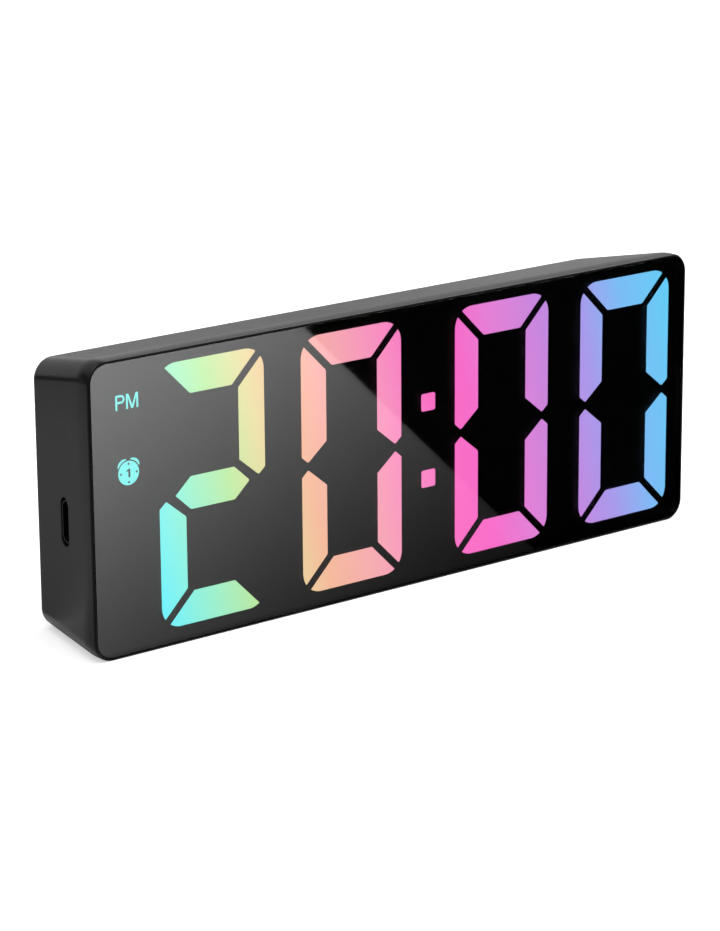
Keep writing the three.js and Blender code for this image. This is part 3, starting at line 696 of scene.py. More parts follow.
def growPiece(name, mesh, tree, values):
    # Runs a geometry tree on a mesh, with inputs by name, and keeps the plain result
    piece = linkObject(name, mesh)
    step = piece.modifiers.new(tree.name, "NODES")
    step.node_group = tree
    for item in tree.interface.items_tree:
        if item.item_type == "SOCKET" and item.in_out == "INPUT" and item.name in values:
            step[item.identifier] = values[item.name]
    return bakeModifiers(piece)


def pointsMesh(name, places, spins=None, kinds=None):
    mesh = bpy.data.meshes.new(name)
    mesh.from_pydata([Vector(place) * mm for place in places], [], [])
    if spins:
        mesh.attributes.new("spin", "FLOAT", "POINT").data.foreach_set("value", spins)
    if kinds:
        mesh.attributes.new("kind", "INT", "POINT").data.foreach_set("value", kinds)
    return mesh


placeCopies = growthTree("placeCopies", {"Places": "Geometry", "Part": "Object"}, spunCopies)
pickSegments = growthTree("pickSegments", {"Places": "Geometry", "Parts": "Collection"}, pickedSegments)
ribRow = growthTree("ribRow", {"Rib": "Geometry", "Count": "Int", "Pitch": "Float"}, ribsInLine)

caseSizes = {
    "cornerRadius": 4.4,
    "frontFillet": 0.45,
    "rearFillet": 0.8,
    "rim": 0.6,
    "rebate": 2.3,
    "wall": 2.0,
    "roomWall": 2.5,
    "edge": 0.12,
    "taperStart": 3.0,    # behind here the top and the sides draw in along a straight line
    "taperInset": 4.8,
    "crease": 1.5,        # half the length over which the line sets in
    "slotWidth": 10.3,
    "slotHeight": 3.8,
    "slotChamfer": 0.15,
    "slotFlare": 0.6,     # how far outside the wall the chamfer's cut begins
    "behindBoard": 0.5,   # the thicker wall and the bosses start this far behind the board
    "coverSeat": 1.65,    # the bosses end this far in front of the cover's rear face
    "bossRadius": 3.2,
    "pilotRadius": 1.45,
    "pilotDepth": 8.0,
}
taperSlope = caseSizes["taperInset"] / (caseDepth - caseSizes["taperStart"])


def taperAt(depth):
    # How far the top and the sides have drawn in at a depth from the front
    crease = caseSizes["crease"]
    past = depth - caseSizes["taperStart"] + crease
    if past > 2 * crease:
        return taperSlope * (past - crease)
    return taperSlope * max(past, 0) ** 2 / (4 * crease)


def caseRing(depth, inset, tapered=True, steps=18):
    # The case's outline at a depth; the underside stays flat
    taper = taperAt(depth) if tapered else 0
    width = caseWidth - 2 * (taper + inset)
    height = caseHeight - taper - 2 * inset
    radius = caseSizes["cornerRadius"] - inset
    outline = roundedOutline(width, height, radius, 0, (caseHeight - taper) / 2, steps)
    return ringAt(outline, frontY + depth)


def shellRings():
    # Round the wall's section: outside to the rear, then inside back to the rim
    sizes = caseSizes
    front, rear, rim, wall, edge = (
        sizes[key] for key in ("frontFillet", "rearFillet", "rim", "wall", "edge"))
    room = limits("display_board")[1].y - frontY + sizes["behindBoard"]
    rings = [caseRing(depth, inset) for inset, depth in arc(front, front, front, 270, 180, 6)]
    start, crease = sizes["taperStart"], sizes["crease"]
    rings += [caseRing(depth, 0) for depth in spread(start - crease, start + crease, 8)]
    rings += [caseRing(depth, inset) for inset, depth in arc(rear, caseDepth - rear, rear, 180, 90, 6)]
    rings += [caseRing(depth, inset) for inset, depth in arc(wall - edge, caseDepth - edge, edge, 90, 0, 2)]
    rings.append(caseRing(room, wall))
    rings += [caseRing(depth, sizes["roomWall"], False) for depth in (room - hair, sizes["rebate"])]
    rings.append(caseRing(sizes["rebate"] - hair, rim, False))
    rings += [caseRing(depth, inset, False) for inset, depth in arc(rim - edge, edge, edge, 0, -90, 2)]
    return rings


def slotRing(grow, reach):
    # A stadium in y and z round the socket's middle, grown all round, at a reach along x
    height, width = caseSizes["slotHeight"], caseSizes["slotWidth"]
    outline = roundedOutline(height + 2 * grow, width + 2 * grow, height / 2 + grow - hair, steps=12)
    return [Vector((reach, across, up)) for across, up in outline]


def cutSlot(piece):
    # A straight bore for the socket, and a small chamfer square to the leaning side
    socket = middleOf("socket_shell")
    place = Vector((leftX + taperAt(socket.y - frontY), socket.y, socket.z))
    wall, chamfer = caseSizes["wall"], caseSizes["slotChamfer"]
    outside = caseSizes["slotFlare"]
    straight = [(0, -wall), (0, 2 * wall)]
    flared = [(chamfer + outside, -outside), (0, chamfer)]
    for stops, turn in ((straight, 0.0), (flared, -math.atan(taperSlope))):
        matrix = Matrix.Rotation(turn, 3, "Z")
        rings = [
            [(place + matrix @ point) * mm for point in slotRing(grow, reach)] for grow, reach in stops]
        boolean(piece, linkObject("slotTool", meshFrom("slotTool", loft(rings))), "DIFFERENCE")


def addBosses(piece):
    # The four screw bosses grow out of the corners behind the board
    front = limits("display_board")[1].y + caseSizes["behindBoard"]
    back = limits("rear_cover")[1].y - caseSizes["coverSeat"]
    radius, pilot = caseSizes["bossRadius"], caseSizes["pilotRadius"]
    floor = back - caseSizes["pilotDepth"]
    hole = [(0, floor), (pilot, floor), (pilot, back + 1), (0, back + 1)]
    for index in range(1, 5):
        x, _, z = middleOf(f"case_screw_{index}")
        inX, outX = x - math.copysign(radius, x), math.copysign(caseWidth / 2, x)
        inZ, outZ = (z + radius, 0) if z < middleZ else (z - radius, caseHeight)
        side = roundedOutline(abs(outX - inX), 2 * radius, radius - hair, (inX + outX) / 2, z)
        edge = roundedOutline(2 * radius, abs(outZ - inZ), radius - hair, x, (inZ + outZ) / 2)
        boss = linkObject("boss", slabMesh("boss", side, front, back))
        boolean(boss, linkObject("bossEdge", slabMesh("bossEdge", edge, front, back)), "UNION")
        core = [caseRing(depth - frontY, caseSizes["wall"] / 2, steps=6) for depth in (front - 1, back + 1)]
        boolean(boss, linkObject("core", meshFrom("core", loft(core))), "INTERSECT")
        boolean(piece, boss, "UNION")
        boolean(piece, linkObject("pilot", turnedMesh("pilot", hole, 20, x, z)), "DIFFERENCE")


def buildCase():
    piece = linkObject("caseShell", meshFrom("caseShell", loft(shellRings(), closed=True)))
    addBosses(piece)
    cutSlot(piece)
    finishPiece(piece, casePlastic, ["main_case"])


paneSizes = {"gap": 0.12, "edge": 0.03}


def buildPane():
    # A flat pane with finely rounded edges, a little smaller than the opening
    low, high = limits("front_panel")
    edge = paneSizes["edge"]
    profile = arc(edge, low.y + edge, edge, 270, 180, 3) + arc(edge, high.y - edge, edge, 180, 90, 3)
    radius = caseSizes["cornerRadius"] - caseSizes["rim"] - paneSizes["gap"]
    rings = []
    for inset, depth in profile:
        width, height = high.x - low.x - 2 * inset, high.z - low.z - 2 * inset
        rings.append(ringAt(roundedOutline(width, height, radius - inset, 0, middleZ, 18), depth))
    piece = linkObject("frontPane", meshFrom("frontPane", loft(rings)))
    finishPiece(piece, smokedPane, ["front_panel"])


digits = {
    "width": 26.7,
    "height": 55.4,
    "gap": 9.45,
    "colonGap": 14.8,
    "left": 17.35,
    "bottom": 3.3,
    "bar": 7.0,
    "post": 6.6,
    "corner": 4.7,
    "mitre": 1.15,
    "tipGap": 1.5,
    "tipInset": 1.7,
    "tipOuter": 1.45,
    "tipInner": 4.0,
    "middleTip": 4.0,
    "middleFlat": 7.85,
    "soften": 0.35,
    "inset": 0.05,
    "proud": 0.02,
    "edge": 0.04,
    "colonDot": 3.9,
    "colonPitch": 16.9,
    "dotCorner": 0.45,
    # 1 for lit: top, bottom, middle, lower left, lower right, upper left, upper right
    "shown": ["1 1 1 1 0 0 1", "1 1 0 1 1 1 1", "1 1 0 1 1 1 1", "1 1 0 1 1 1 1"],
}


def segmentOutlines():
    # The seven segments from the digit's lower left corner, in the order of digits["shown"]
    width, height, radius = digits["width"], digits["height"], digits["corner"]
    bar, post, mitre = digits["bar"], digits["post"], digits["mitre"]
    lean = math.degrees(math.pi / 4 - math.acos(mitre / (radius * math.sqrt(2))))
    tip = (height - digits["tipGap"]) / 2

    def flipX(points):
        return [(width - x, z) for x, z in points]

    def flipZ(points):
        return [(x, height - z) for x, z in points]

    corner = arc(radius, radius, radius, 270 + lean, 270, 8)
    bottom = corner + flipX(corner)[::-1] + [(width - bar - mitre, bar), (bar + mitre, bar)]
    left = arc(radius, radius, radius, 180, 180 - lean, 8) + [
        (post, post + mitre), (post, tip - digits["tipInner"]),
        (digits["tipInset"], tip), (0, tip - digits["tipOuter"])]
    middle, flat, half = digits["middleTip"], digits["middleFlat"], bar / 2
    centre = height / 2
    hexagon = [
        (middle, centre), (flat, centre - half), (width - flat, centre - half),
        (width - middle, centre), (width - flat, centre + half), (flat, centre + half)]
    return [flipZ(bottom), bottom, hexagon, left, flipX(left), flipZ(left), flipX(flipZ(left))]


def digitLefts():
    lefts = [leftX + digits["left"]]
    for gap in (digits["gap"], digits["colonGap"], digits["gap"]):
        lefts.append(lefts[-1] + digits["width"] + gap)
    return lefts


def buildSegments(name, wanted, material, inset, proud, edge):
    # One soft-cornered slab for each kind of segment, copied wherever the digits have it lit or out
    low, high = limits("display_mask")
    dotSide = digits["colonDot"] - 2 * inset
    outlines = [offsetOutline(counterClockwise(outline), inset) for outline in segmentOutlines()]
    outlines = [softenCorners(outline, digits["soften"]) for outline in outlines]
    outlines.append(roundedOutline(dotSide, dotSide, digits["dotCorner"], steps=4))
    parts = bpy.data.collections.new("segmentParts")
    for index, outline in enumerate(outlines):
        mesh = slabMesh(f"segment{index}", outline, low.y - proud, high.y, edge)
        parts.objects.link(bpy.data.objects.new(f"segment{index}", mesh))
    places, kinds = [], []
    for left, shown in zip(digitLefts(), digits["shown"]):
        for kind, lit in enumerate(shown.split()):
            if lit == wanted:
                places.append((left, 0, digits["bottom"]))
                kinds.append(kind)
    colonX = digitLefts()[1] + digits["width"] + digits["colonGap"] / 2
    for side in (-1, 1) if wanted == "1" else ():
        places.append((colonX, 0, middleZ + side * digits["colonPitch"] / 2))
        kinds.append(len(outlines) - 1)
    piece = growPiece(name, pointsMesh(name, places, kinds=kinds), pickSegments, {
        "Parts": parts, "Finish": material})
    for part in list(parts.objects):
        bpy.data.objects.remove(part)
    bpy.data.collections.remove(parts)
    finishPiece(piece, material, weighted=False)


markers = {
    "fromLeft": 10.1,
    "afternoonFromTop": 9.4,
    "capHeight": 3.05,
    "stroke": 0.42,
    "bowlWidth": 2.2,
    "bowlHeight": 1.75,
    "peaksWidth": 2.9,
    "letterGap": 0.35,
    # The letter of two peaks, as shares of the stroke: its tops, its notches, and its middle point and dip
    "crown": 1.4,
    "notch": 1.5,
    "point": 0.55,
    "dip": 1.6,
    "alarmFromTop": 24.1,
    "faceRadius": 2.5,
    "tickRadius": 0.24,
    "tickReach": 1.9,
    "numberHeight": 1.75,
    "numberStem": 0.46,
    "bellInner": 2.78,
    "bellRise": 0.55,
    "bellFrom": 26.0,
    "bellTo": 81.0,
    "bellTip": 0.04,
    "bellCurve": 0.7,
    "blankWidth": 5.7,
    "blankHeight": 3.3,
    "blankCorner": 0.4,
    "blankFromTop": 23.9,
    "blankRadius": 3.15,
    "thickness": 0.03,
    "darkThickness": 0.008,
    "darkLift": 0.002,
}


def bellOutline(x, z, side, steps=12):
    # A crescent that hugs the clock face between two angles
    angles = [math.radians(angle) for angle in spread(markers["bellFrom"], markers["bellTo"], steps)]
    points = [(angle, markers["bellInner"]) for angle in angles]
    for angle, share in zip(angles[::-1], spread(1 - markers["bellTip"], markers["bellTip"], steps)):
        rise = markers["bellRise"] * math.sin(math.pi * share) ** markers["bellCurve"]
        points.append((angle, markers["bellInner"] + rise))
    return [(x + side * reach * math.cos(angle), z + reach * math.sin(angle)) for angle, reach in points]


def shifted(points, x, z):
    return [(x + across, z + up) for across, up in points]


def letterOutlines(x, z):
    # The two plain capitals of the afternoon marker: a stem and its bowl, then a letter of two peaks
    tall, stroke, wide = markers["capHeight"], markers["stroke"], markers["peaksWidth"]
    bowl, drop = markers["bowlWidth"], markers["bowlHeight"]
    left = x - (bowl + markers["letterGap"] + wide) / 2
    foot = z - tall / 2
    outer = arc(bowl - drop / 2, tall - drop / 2, drop / 2, -90, 90, 12)
    inner = arc(bowl - drop / 2, tall - drop / 2, drop / 2 - stroke, 90, -90, 12)
    band = [(stroke, tall - drop)] + outer + [(stroke, tall), (stroke, tall - stroke)]
    band += inner + [(stroke, tall - drop + stroke)]
    stem = [(0, 0), (stroke, 0), (stroke, tall), (0, tall)]
    crown, notch, point, dip = (stroke * markers[key] for key in ("crown", "notch", "point", "dip"))
    middle, inside = wide / 2, wide - stroke
    peaks = [
        (0, 0), (stroke, 0), (stroke, tall - notch), (middle - point, 0), (middle + point, 0),
        (inside, tall - notch), (inside, 0), (wide, 0), (wide, tall), (wide - crown, tall),
        (middle, dip), (crown, tall), (0, tall)]
    right = left + bowl + markers["letterGap"]
    return [shifted(stem, left, foot), shifted(band, left, foot), shifted(peaks, right, foot)]


def numberOutline(x, z):
    # A bold figure one with its flag
    half, stem = markers["numberHeight"] / 2, markers["numberStem"]
    return shifted([
        (stem * 0.8, -half), (stem * 0.8, half), (0, half), (-stem * 1.2, half * 0.6),
        (-stem * 1.2, half * 0.25), (-stem * 0.2, half * 0.5), (-stem * 0.2, -half)], x, z)


def buildMarks(name, outlines, front, back, material):
    meshes = [slabMesh("mark", outline, front, back) for outline in outlines]
    finishPiece(joinedPiece(name, meshes), material, weighted=False)


def buildMarkers():
    # Black blanks fill the two marker windows; the lit marks and the dark marks lie on them
    low, high = limits("display_mask")
    sizes, x, front = markers, leftX + markers["fromLeft"], low.y
    wordZ, faceZ, blankZ = (
        caseHeight - sizes[key] for key in ("afternoonFromTop", "alarmFromTop", "blankFromTop"))
    blanks = [
        roundedOutline(sizes["blankWidth"], sizes["blankHeight"], sizes["blankCorner"], x, wordZ, 4),
        circleOutline(sizes["blankRadius"], x, blankZ)]
    lit = letterOutlines(x, wordZ) + [
        circleOutline(sizes["faceRadius"], x, faceZ), bellOutline(x, faceZ, 1), bellOutline(x, faceZ, -1)]
    ticks = circleOutline(sizes["tickReach"], x, faceZ, 4)
    dark = [numberOutline(x, faceZ)] + [circleOutline(sizes["tickRadius"], *place, 12) for place in ticks]
    top = front - sizes["thickness"]
    buildMarks("markerBlanks", blanks, front, high.y, maskFilm)
    buildMarks("litMarkers", lit, top, front, markerGlow)
    lifted = top - sizes["darkLift"]
    buildMarks("darkMarks", dark, lifted - sizes["darkThickness"], lifted, maskFilm)


coverSizes = {"edge": 0.15}


def buildRearCover():
    cover = softenedCopy("rear_cover", "rearCover", coverSizes["edge"])
    finishPiece(cover, coverPlastic, ["rear_cover"])
    door = softenedCopy("battery_door", "batteryDoor", coverSizes["edge"])
    finishPiece(door, coverPlastic, ["battery_door"], body="battery_lid")


doorRibs = {
    "count": 4,
    "pitch": 1.6,
    "length": 11.0,
    "width": 0.7,
    "rise": 0.25,
    "edge": 0.1,
    "fromTop": 9.5,
}


def buildDoorRibs():
    # Grip ribs below the finger recess
    _, high = limits("battery_door")
    x = middleOf("battery_door").x
    width, edge = doorRibs["width"], doorRibs["edge"]
    lowest = high.z - doorRibs["fromTop"] - doorRibs["pitch"] * (doorRibs["count"] - 1)
    outline = roundedOutline(doorRibs["length"], width, width / 2 - hair, x, lowest, 5)
    rib = slabMesh("rib", outline, high.y - edge, high.y + doorRibs["rise"], edge)
    piece = growPiece("doorRibs", rib, ribRow, {
        "Count": doorRibs["count"], "Pitch": doorRibs["pitch"] * mm, "Finish": coverPlastic})
    finishPiece(piece, coverPlastic, body="battery_lid")


buttonNames = ("set", "up", "down")
buttonSizes = {
    "radius": 3.5,
    "flange": 4.7,
    "flangeThickness": 1.0,
    "flangeGap": 0.3,
    "coverWall": 1.6,
    "stem": 1.5,
    "edge": 0.1,
    "crown": 0.35,
    "dish": 0.18,
}


def buildButtons():
    # Each button is turned: stem, flange, cap with a rounded rim and a shallow dish
    radius, flange, stem, edge, crown = (
        buttonSizes[key] for key in ("radius", "flange", "stem", "edge", "crown"))
    back = limits("rear_cover")[1].y - buttonSizes["coverWall"] - buttonSizes["flangeGap"]
    front = back - buttonSizes["flangeThickness"]
    for name in buttonNames:
        foot, top = (corner.y for corner in limits(f"button_{name}"))
        x, _, z = middleOf(f"button_{name}")
        profile = [(0, foot), (stem - edge, foot), (stem, foot + edge), (stem, front)]
        profile += [(flange - edge, front), (flange, front + edge)]
        profile += [(flange, back - edge), (flange - edge, back), (radius, back)]
        profile += arc(radius - crown, top - crown, crown, 0, 90, 6)
        for share in spread(1, 0, 6)[1:]:
            profile.append(((radius - crown) * share, top - buttonSizes["dish"] * (1 - share ** 2)))
        label = f"button{name.title()}"
        piece = linkObject(label, turnedMesh(label, profile, 48, x, z))
        finishPiece(piece, buttonPlastic, [f"button_{name}"], body=f"{name}_button")


symbols = {
    "above": 6.6,
    "size": 1.5,
    "ringSmaller": 1.4,
    "ring": 0.35,
    "arrowCorner": 0.2,
    "thickness": 0.04,
}


def buildSymbols():
    # Printed marks over the buttons: a ring for set, arrowheads for up and down
    back = limits("rear_cover")[1].y
    top, size = back + symbols["thickness"], symbols["size"]
    outer = size / symbols["ringSmaller"]
    inner = outer - symbols["ring"]
    meshes = []
    for name in buttonNames:
        x, _, z = middleOf(f"button_{name}")
        z += symbols["above"]
        if name == "set":
            sections = ((outer, back), (outer, top), (inner, top), (inner, back))
            rings = [ringAt(circleOutline(radius, x, z), depth) for radius, depth in sections]
            meshes.append(meshFrom("ringMark", loft(rings, closed=True)))
            continue
        turn = 1 if name == "up" else -1
        arrow = [(x - size, z - turn * size / 2), (x + size, z - turn * size / 2), (x, z + turn * size)]
        arrow = softenCorners(counterClockwise(arrow), symbols["arrowCorner"])
        meshes.append(slabMesh("arrowMark", arrow, back, top))
    finishPiece(joinedPiece("buttonSymbols", meshes), printInk, weighted=False)


screwSizes = {
    "case": {"head": 2.3, "shank": 1.15, "length": 8.0},
    "board": {"head": 1.8, "shank": 0.9, "length": 6.3},
    "headThickness": 0.9,
    "headSide": 0.25,     # share of the head's height before its crown
    "headCurve": 0.6,
    "point": 0.35,        # as a share of the shank's radius
    "pointLength": 0.1,
    "edge": 0.05,
    "neck": 0.5,
    "threadEnd": 1.2,     # the last thread ring starts this far below the head
    "threadPitch": 0.8,
    "threadDepth": 0.15,
    "recessArm": 0.62,    # as a share of the head's radius
    "recessWidth": 0.34,
    "recessDepth": 0.5,
    "recessCorner": 0.12,
}
screwFinishes = {"case": (blackZinc, "black_screw"), "board": (brightSteel, "bright_metal")}


def screwPart(name, head, shank, length):
    # A pan head with a cross recess over a ringed shank
    thick, edge, pitch = (screwSizes[key] for key in ("headThickness", "edge", "threadPitch"))
    groove, neck = shank - screwSizes["threadDepth"], shank - edge
    profile = [(0, -length), (shank * screwSizes["point"], -length + screwSizes["pointLength"])]
    depth = -length + shank
    while depth < -screwSizes["threadEnd"]:
        profile += [(groove, depth), (shank, depth + pitch / 2)]
        depth += pitch
    profile += [(groove, depth), (neck, -screwSizes["neck"]), (neck, 0), (head - edge, 0), (head, edge)]
    side = screwSizes["headSide"]
    for angle in spread(0, 80, 6):
        turn = math.radians(angle)
        reach = head * math.cos(turn) ** screwSizes["headCurve"]
        profile.append((reach, side * thick + (1 - side) * thick * math.sin(turn)))
    profile.append((0, thick))
    piece = linkObject(name, turnedMesh(name, profile, 32))
    arm, width = head * screwSizes["recessArm"], screwSizes["recessWidth"]
    for across, up in ((arm, width), (width, arm)):
        outline = roundedOutline(2 * across, 2 * up, screwSizes["recessCorner"], 0, 0, 3)
        tool = slabMesh("recess", outline, thick - screwSizes["recessDepth"], thick + 1)
        boolean(piece, linkObject("recess", tool), "DIFFERENCE")
    return piece


def buildScrews():
    # One screw of each kind, copied to its four places
    for kind, (finish, slotName) in screwFinishes.items():
        name = f"{kind}Screws"
        part = screwPart(f"{kind}ScrewPart", **screwSizes[kind])
        nodes = [f"{kind}_screw_{index}" for index in range(1, 5)]
        places = []
        for node in nodes:
            x, _, z = middleOf(node)
            places.append((x, limits(node)[1].y - screwSizes["headThickness"], z))
        piece = growPiece(name, pointsMesh(name, places, spins=[0.0] * len(places)), placeCopies, {
            "Part": part, "Finish": finish})
        bpy.data.objects.remove(part)
        finishPiece(piece, finish, nodes)


cellSizes = {
    "radius": 5.15,
    "length": 44.5,
    "nubRadius": 1.9,
    "nubLength": 0.9,
    "nubRound": 0.25,
    # How far in from the side, and from its end of the cell, each point of the folded sleeve lies
    "raisedEnd": [(0.9, 0.0), (0.7, 0.12), (0.45, 0.05), (0.12, 0.2), (0.0, 0.45)],
    "flatEnd": [(0.0, 0.45), (0.12, 0.12), (0.45, 0.0), (0.8, 0.0), (0.95, 0.12), (5.15, 0.12)],
    "capBand": 10.0,
    "bareFrom": 0.35,
    "sheen": 0.25,        # how metallic the printed sleeve is
    "roughness": 0.3,
    "roughnessSpread": 0.12,
    "speckScale": 700.0,
}


def makeSleeveMaterial():
    # A plain printed sleeve: a copper-coloured end band, a dark body, and bare metal ends
    def varying(tree):
        along = tree.node("ShaderNodeAttribute", {"attribute_name": "along"}, output="Fac")
        radius = tree.node("ShaderNodeAttribute", {"attribute_name": "reach"}, output="Fac")
        band = along < cellSizes["capBand"]
        bare = radius < cellSizes["radius"] - cellSizes["bareFrom"]
        speck = tree.noise(cellSizes["speckScale"])
        printed = tree.mixColour(band, linear(52, 58, 66), linear(188, 120, 62))
        return {
            "Base Color": tree.mixColour(bare, printed, linear(205, 203, 198)),
            "Metallic": cellSizes["sheen"] + bare * (1 - cellSizes["sheen"]),
            "Roughness": cellSizes["roughness"] + speck * cellSizes["roughnessSpread"],
        }
    return makeMaterial("cellSleeve", {}, varying)


def buildCells():
    # One turned cell with its raised end at the left, copied into the bay, every other one turned round
    sizes = cellSizes
    start = -(sizes["length"] + sizes["nubLength"]) / 2
    shoulder, end = start + sizes["nubLength"], -start
    side, nub, soft = sizes["radius"], sizes["nubRadius"], sizes["nubRound"]
    profile = [(0, start), (nub - soft, start), (nub, start + soft), (nub, shoulder)]
    profile += [(side - inwards, shoulder + back) for inwards, back in sizes["raisedEnd"]]
    profile += [(side - inwards, end - back) for inwards, back in sizes["flatEnd"]]
    mesh = turnedMesh("cellPart", profile, 56)
    mesh.transform(Matrix.Rotation(math.radians(-90), 4, "Z"))
    along = [(vertex.co.x / mm) - start for vertex in mesh.vertices]
    reach = [math.hypot(vertex.co.y, vertex.co.z) / mm for vertex in mesh.vertices]
    mesh.attributes.new("along", "FLOAT", "POINT").data.foreach_set("value", along)
    mesh.attributes.new("reach", "FLOAT", "POINT").data.foreach_set("value", reach)
    part = linkObject("cellPart", mesh)
    nodes = [f"battery_cell_{index}" for index in (1, 2, 3)]
    places = [middleOf(node) for node in nodes]
    spins = [math.pi * (index % 2) for index in range(3)]
    sleeve = makeSleeveMaterial()
    piece = growPiece("batteryCells", pointsMesh("batteryCells", places, spins), placeCopies, {
        "Part": part, "Finish": sleeve})
    bpy.data.objects.remove(part)
    finishPiece(piece, sleeve, nodes)


# The carried-over CAD pieces and their finishes
keptNodes = [
    (tapeFoam, ["panel_tape"]),
    (maskFilm, ["display_mask"]),
    (unlitFilm, ["rainbow_film"]),
    (whitePlastic, ["reflector"]),
    (circuitBoard, ["display_board"]),
    (resinPlastic, ["controller_chip", "buzzer", "socket_tongue"]),
    (resinPlastic, [f"switch_{name}" for name in buttonNames]),
    (buttonPlastic, [f"plunger_{name}" for name in buttonNames]),
    (brightSteel, ["crystal"]),
    (canAluminium, ["capacitor"]),
    (darkSteel, ["socket_shell"]),
    (nickel, ["contact_plus", "contact_minus", "contact_link_1", "contact_link_2"]),
    (redWire, ["lead_plus"]),
    (blackWire, ["lead_minus"]),
]


def dressKeptNodes():
    for finish, names in keptNodes:
        for name in names:
            materials = frame["nodes"][name].data.materials
            materials.clear()
            materials.append(finish)


buildCase()
buildPane()
print("case and pane built")
buildSegments("litSegments", "1", segmentGlow, digits["inset"], digits["proud"], digits["edge"])
buildSegments("darkSegments", "0", unlitFilm, inset=hair, proud=0.0, edge=0.0)
buildMarkers()
print("display built")
buildRearCover()
buildDoorRibs()
buildButtons()
buildSymbols()
buildScrews()
buildCells()
print("rear built")
dressKeptNodes()


# The photograph's view: its frame is 720 by 931 and focalPixels is its focal length in those pixels
view = {
    "azimuth": -38.557,
    "elevation": 15.725,
    "roll": -0.418,
    "distance": 705.05,
    "focalPixels": 3275.31,
    "frameHeight": 931,
    "sensor": 36.0,
    "aim": (0.0, 0.5, 31.0),
    "right": -1.465,
    "up": -6.892,
    "nearClip": 0.05,
    "farClip": 20.0,
}


def cameraFrame():
    # The camera's place in millimetres and its right, up and back directions
    azimuth, elevation, roll = (math.radians(view[key]) for key in ("azimuth", "elevation", "roll"))
    level = math.cos(elevation)
    back = Vector((math.sin(azimuth) * level, -math.cos(azimuth) * level, math.sin(elevation)))
    sideways = Vector((math.cos(azimuth), math.sin(azimuth), 0))
    upright = back.cross(sideways)
    right = sideways * math.cos(roll) + upright * math.sin(roll)
    up = upright * math.cos(roll) - sideways * math.sin(roll)
    place = Vector(view["aim"]) + back * view["distance"] + right * view["right"] + up * view["up"]
    return place, right, up, back


def makeCamera():
    place, right, up, back = cameraFrame()
    data = bpy.data.cameras.new("photoCamera")
    data.sensor_width = view["sensor"]
    data.lens = view["focalPixels"] * view["sensor"] / view["frameHeight"]
    data.clip_start = view["nearClip"]
    data.clip_end = view["farClip"]
    camera = linkObject("photoCamera", data)
    camera.matrix_world = Matrix.Translation(place * mm) @ Matrix((right, up, back)).transposed().to_4x4()
    scene.camera = camera


stageLook = {
    "floorSize": 6000.0,
    "floorTone": 0.92,
    "floorLift": 0.5,        # light of the floor's own that only the camera sees
    "worldStrength": 0.55,
}
# Lamp places and sizes are in metres
lamps = {
    "key": {"place": (-0.5, -0.9, 1.5), "size": 1.2, "power": 9.0},
    "fill": {"place": (0.92, -0.3, 1.22), "size": 1.0, "power": 14.0},
}
lampAim = (0, 0, 0.03)

# The mirrored room: a dark patch at the front right, a dark strip low on the left, softer light beyond
darkCorner = {"towards": (0.59, -0.72, 0.30), "full": 0.96, "clear": 0.78}
darkStrip = {"top": 0.36, "foot": 0.28, "leftFrom": 0.2, "leftFull": 0.4}
roomLight = {
    # Level by how far to the right a mirrored ray runs, from -1 to 1
    "across": [(-1, 0.4), (0.32, 0.4), (0.48, 0.72), (0.53, 0.8), (0.6, 0.56), (1, 0.52)],
    "high": 0.52,
    "highFrom": 0.35,
    "highTo": 0.5,
}


def slope(value, start, end):
    # Climbs from 0 at the start to 1 at the end
    return ((value - start) / (end - start)).clamped()


def grey(tree, value):
    return tree.node("ShaderNodeCombineColor", inputs={0: value, 1: value, 2: value})


def lightPathWorld():
    # White to the camera, softer as a light, and the room's own light and dark in mirrored rays
    world = bpy.data.worlds.new("studio")
    world.use_nodes = True
    scene.world = world
    tree = Tree(world.node_tree)
    camera = tree.ray("Camera")
    mirrored = (tree.ray("Glossy") + tree.ray("Transmission")).clamped()
    towards = tree.node("ShaderNodeTexCoord", output="Generated")
    corner = tree.node("ShaderNodeVectorMath", {"operation": "DOT_PRODUCT"}, {
        0: towards, 1: tuple(Vector(darkCorner["towards"]).normalized())}, "Value")
    across, _, up = tree.axes("Generated")
    left = slope(0 - across, darkStrip["leftFrom"], darkStrip["leftFull"])
    strip = slope(up, darkStrip["top"], darkStrip["foot"]) * left
    stops = [((place + 1) / 2, shaded(white, level)) for place, level in roomLight["across"]]
    low = tree.ramp((across + 1) / 2, stops)
    lit = low + (roomLight["high"] - low) * slope(up, roomLight["highFrom"], roomLight["highTo"])
    room = (1 - slope(corner, darkCorner["clear"], darkCorner["full"])) * (1 - strip) * lit
    level = camera + (1 - camera) * (mirrored * room + (1 - mirrored) * stageLook["worldStrength"])
    background = world.node_tree.nodes["Background"]
    background.inputs["Color"].default_value = white
    tree.links.new(level.socket, background.inputs["Strength"])


def levelSheet(name, outline, height):
    # A flat sheet at one height, face up
    bm = bmesh.new()
    bm.faces.new([bm.verts.new(Vector((x, y, height)) * mm) for x, y in outline])
    return linkObject(name, meshFrom(name, bm, outward=False))


def makeFloor():
    half = stageLook["floorSize"] / 2
    floor = levelSheet("floor", [(-half, -half), (half, -half), (half, half), (-half, half)], 0.0)
    tone = shaded(white, stageLook["floorTone"])
    fixed = {"Base Color": tone, "Roughness": 0.9, "Emission Strength": 1.0}
    floor.data.materials.append(makeMaterial("floorWhite", fixed, lambda tree: {
        "Emission Color": grey(tree, tree.ray("Camera") * stageLook["floorLift"])}))


def addLamp(name, place, size, power):
    data = bpy.data.lights.new(name, "AREA")
    data.shape = "DISK"
    data.size = size
    data.energy = power
    lamp = linkObject(name, data)
    lamp.location = place
    lamp.rotation_euler = (Vector(lampAim) - Vector(place)).to_track_quat("-Z", "Y").to_euler()


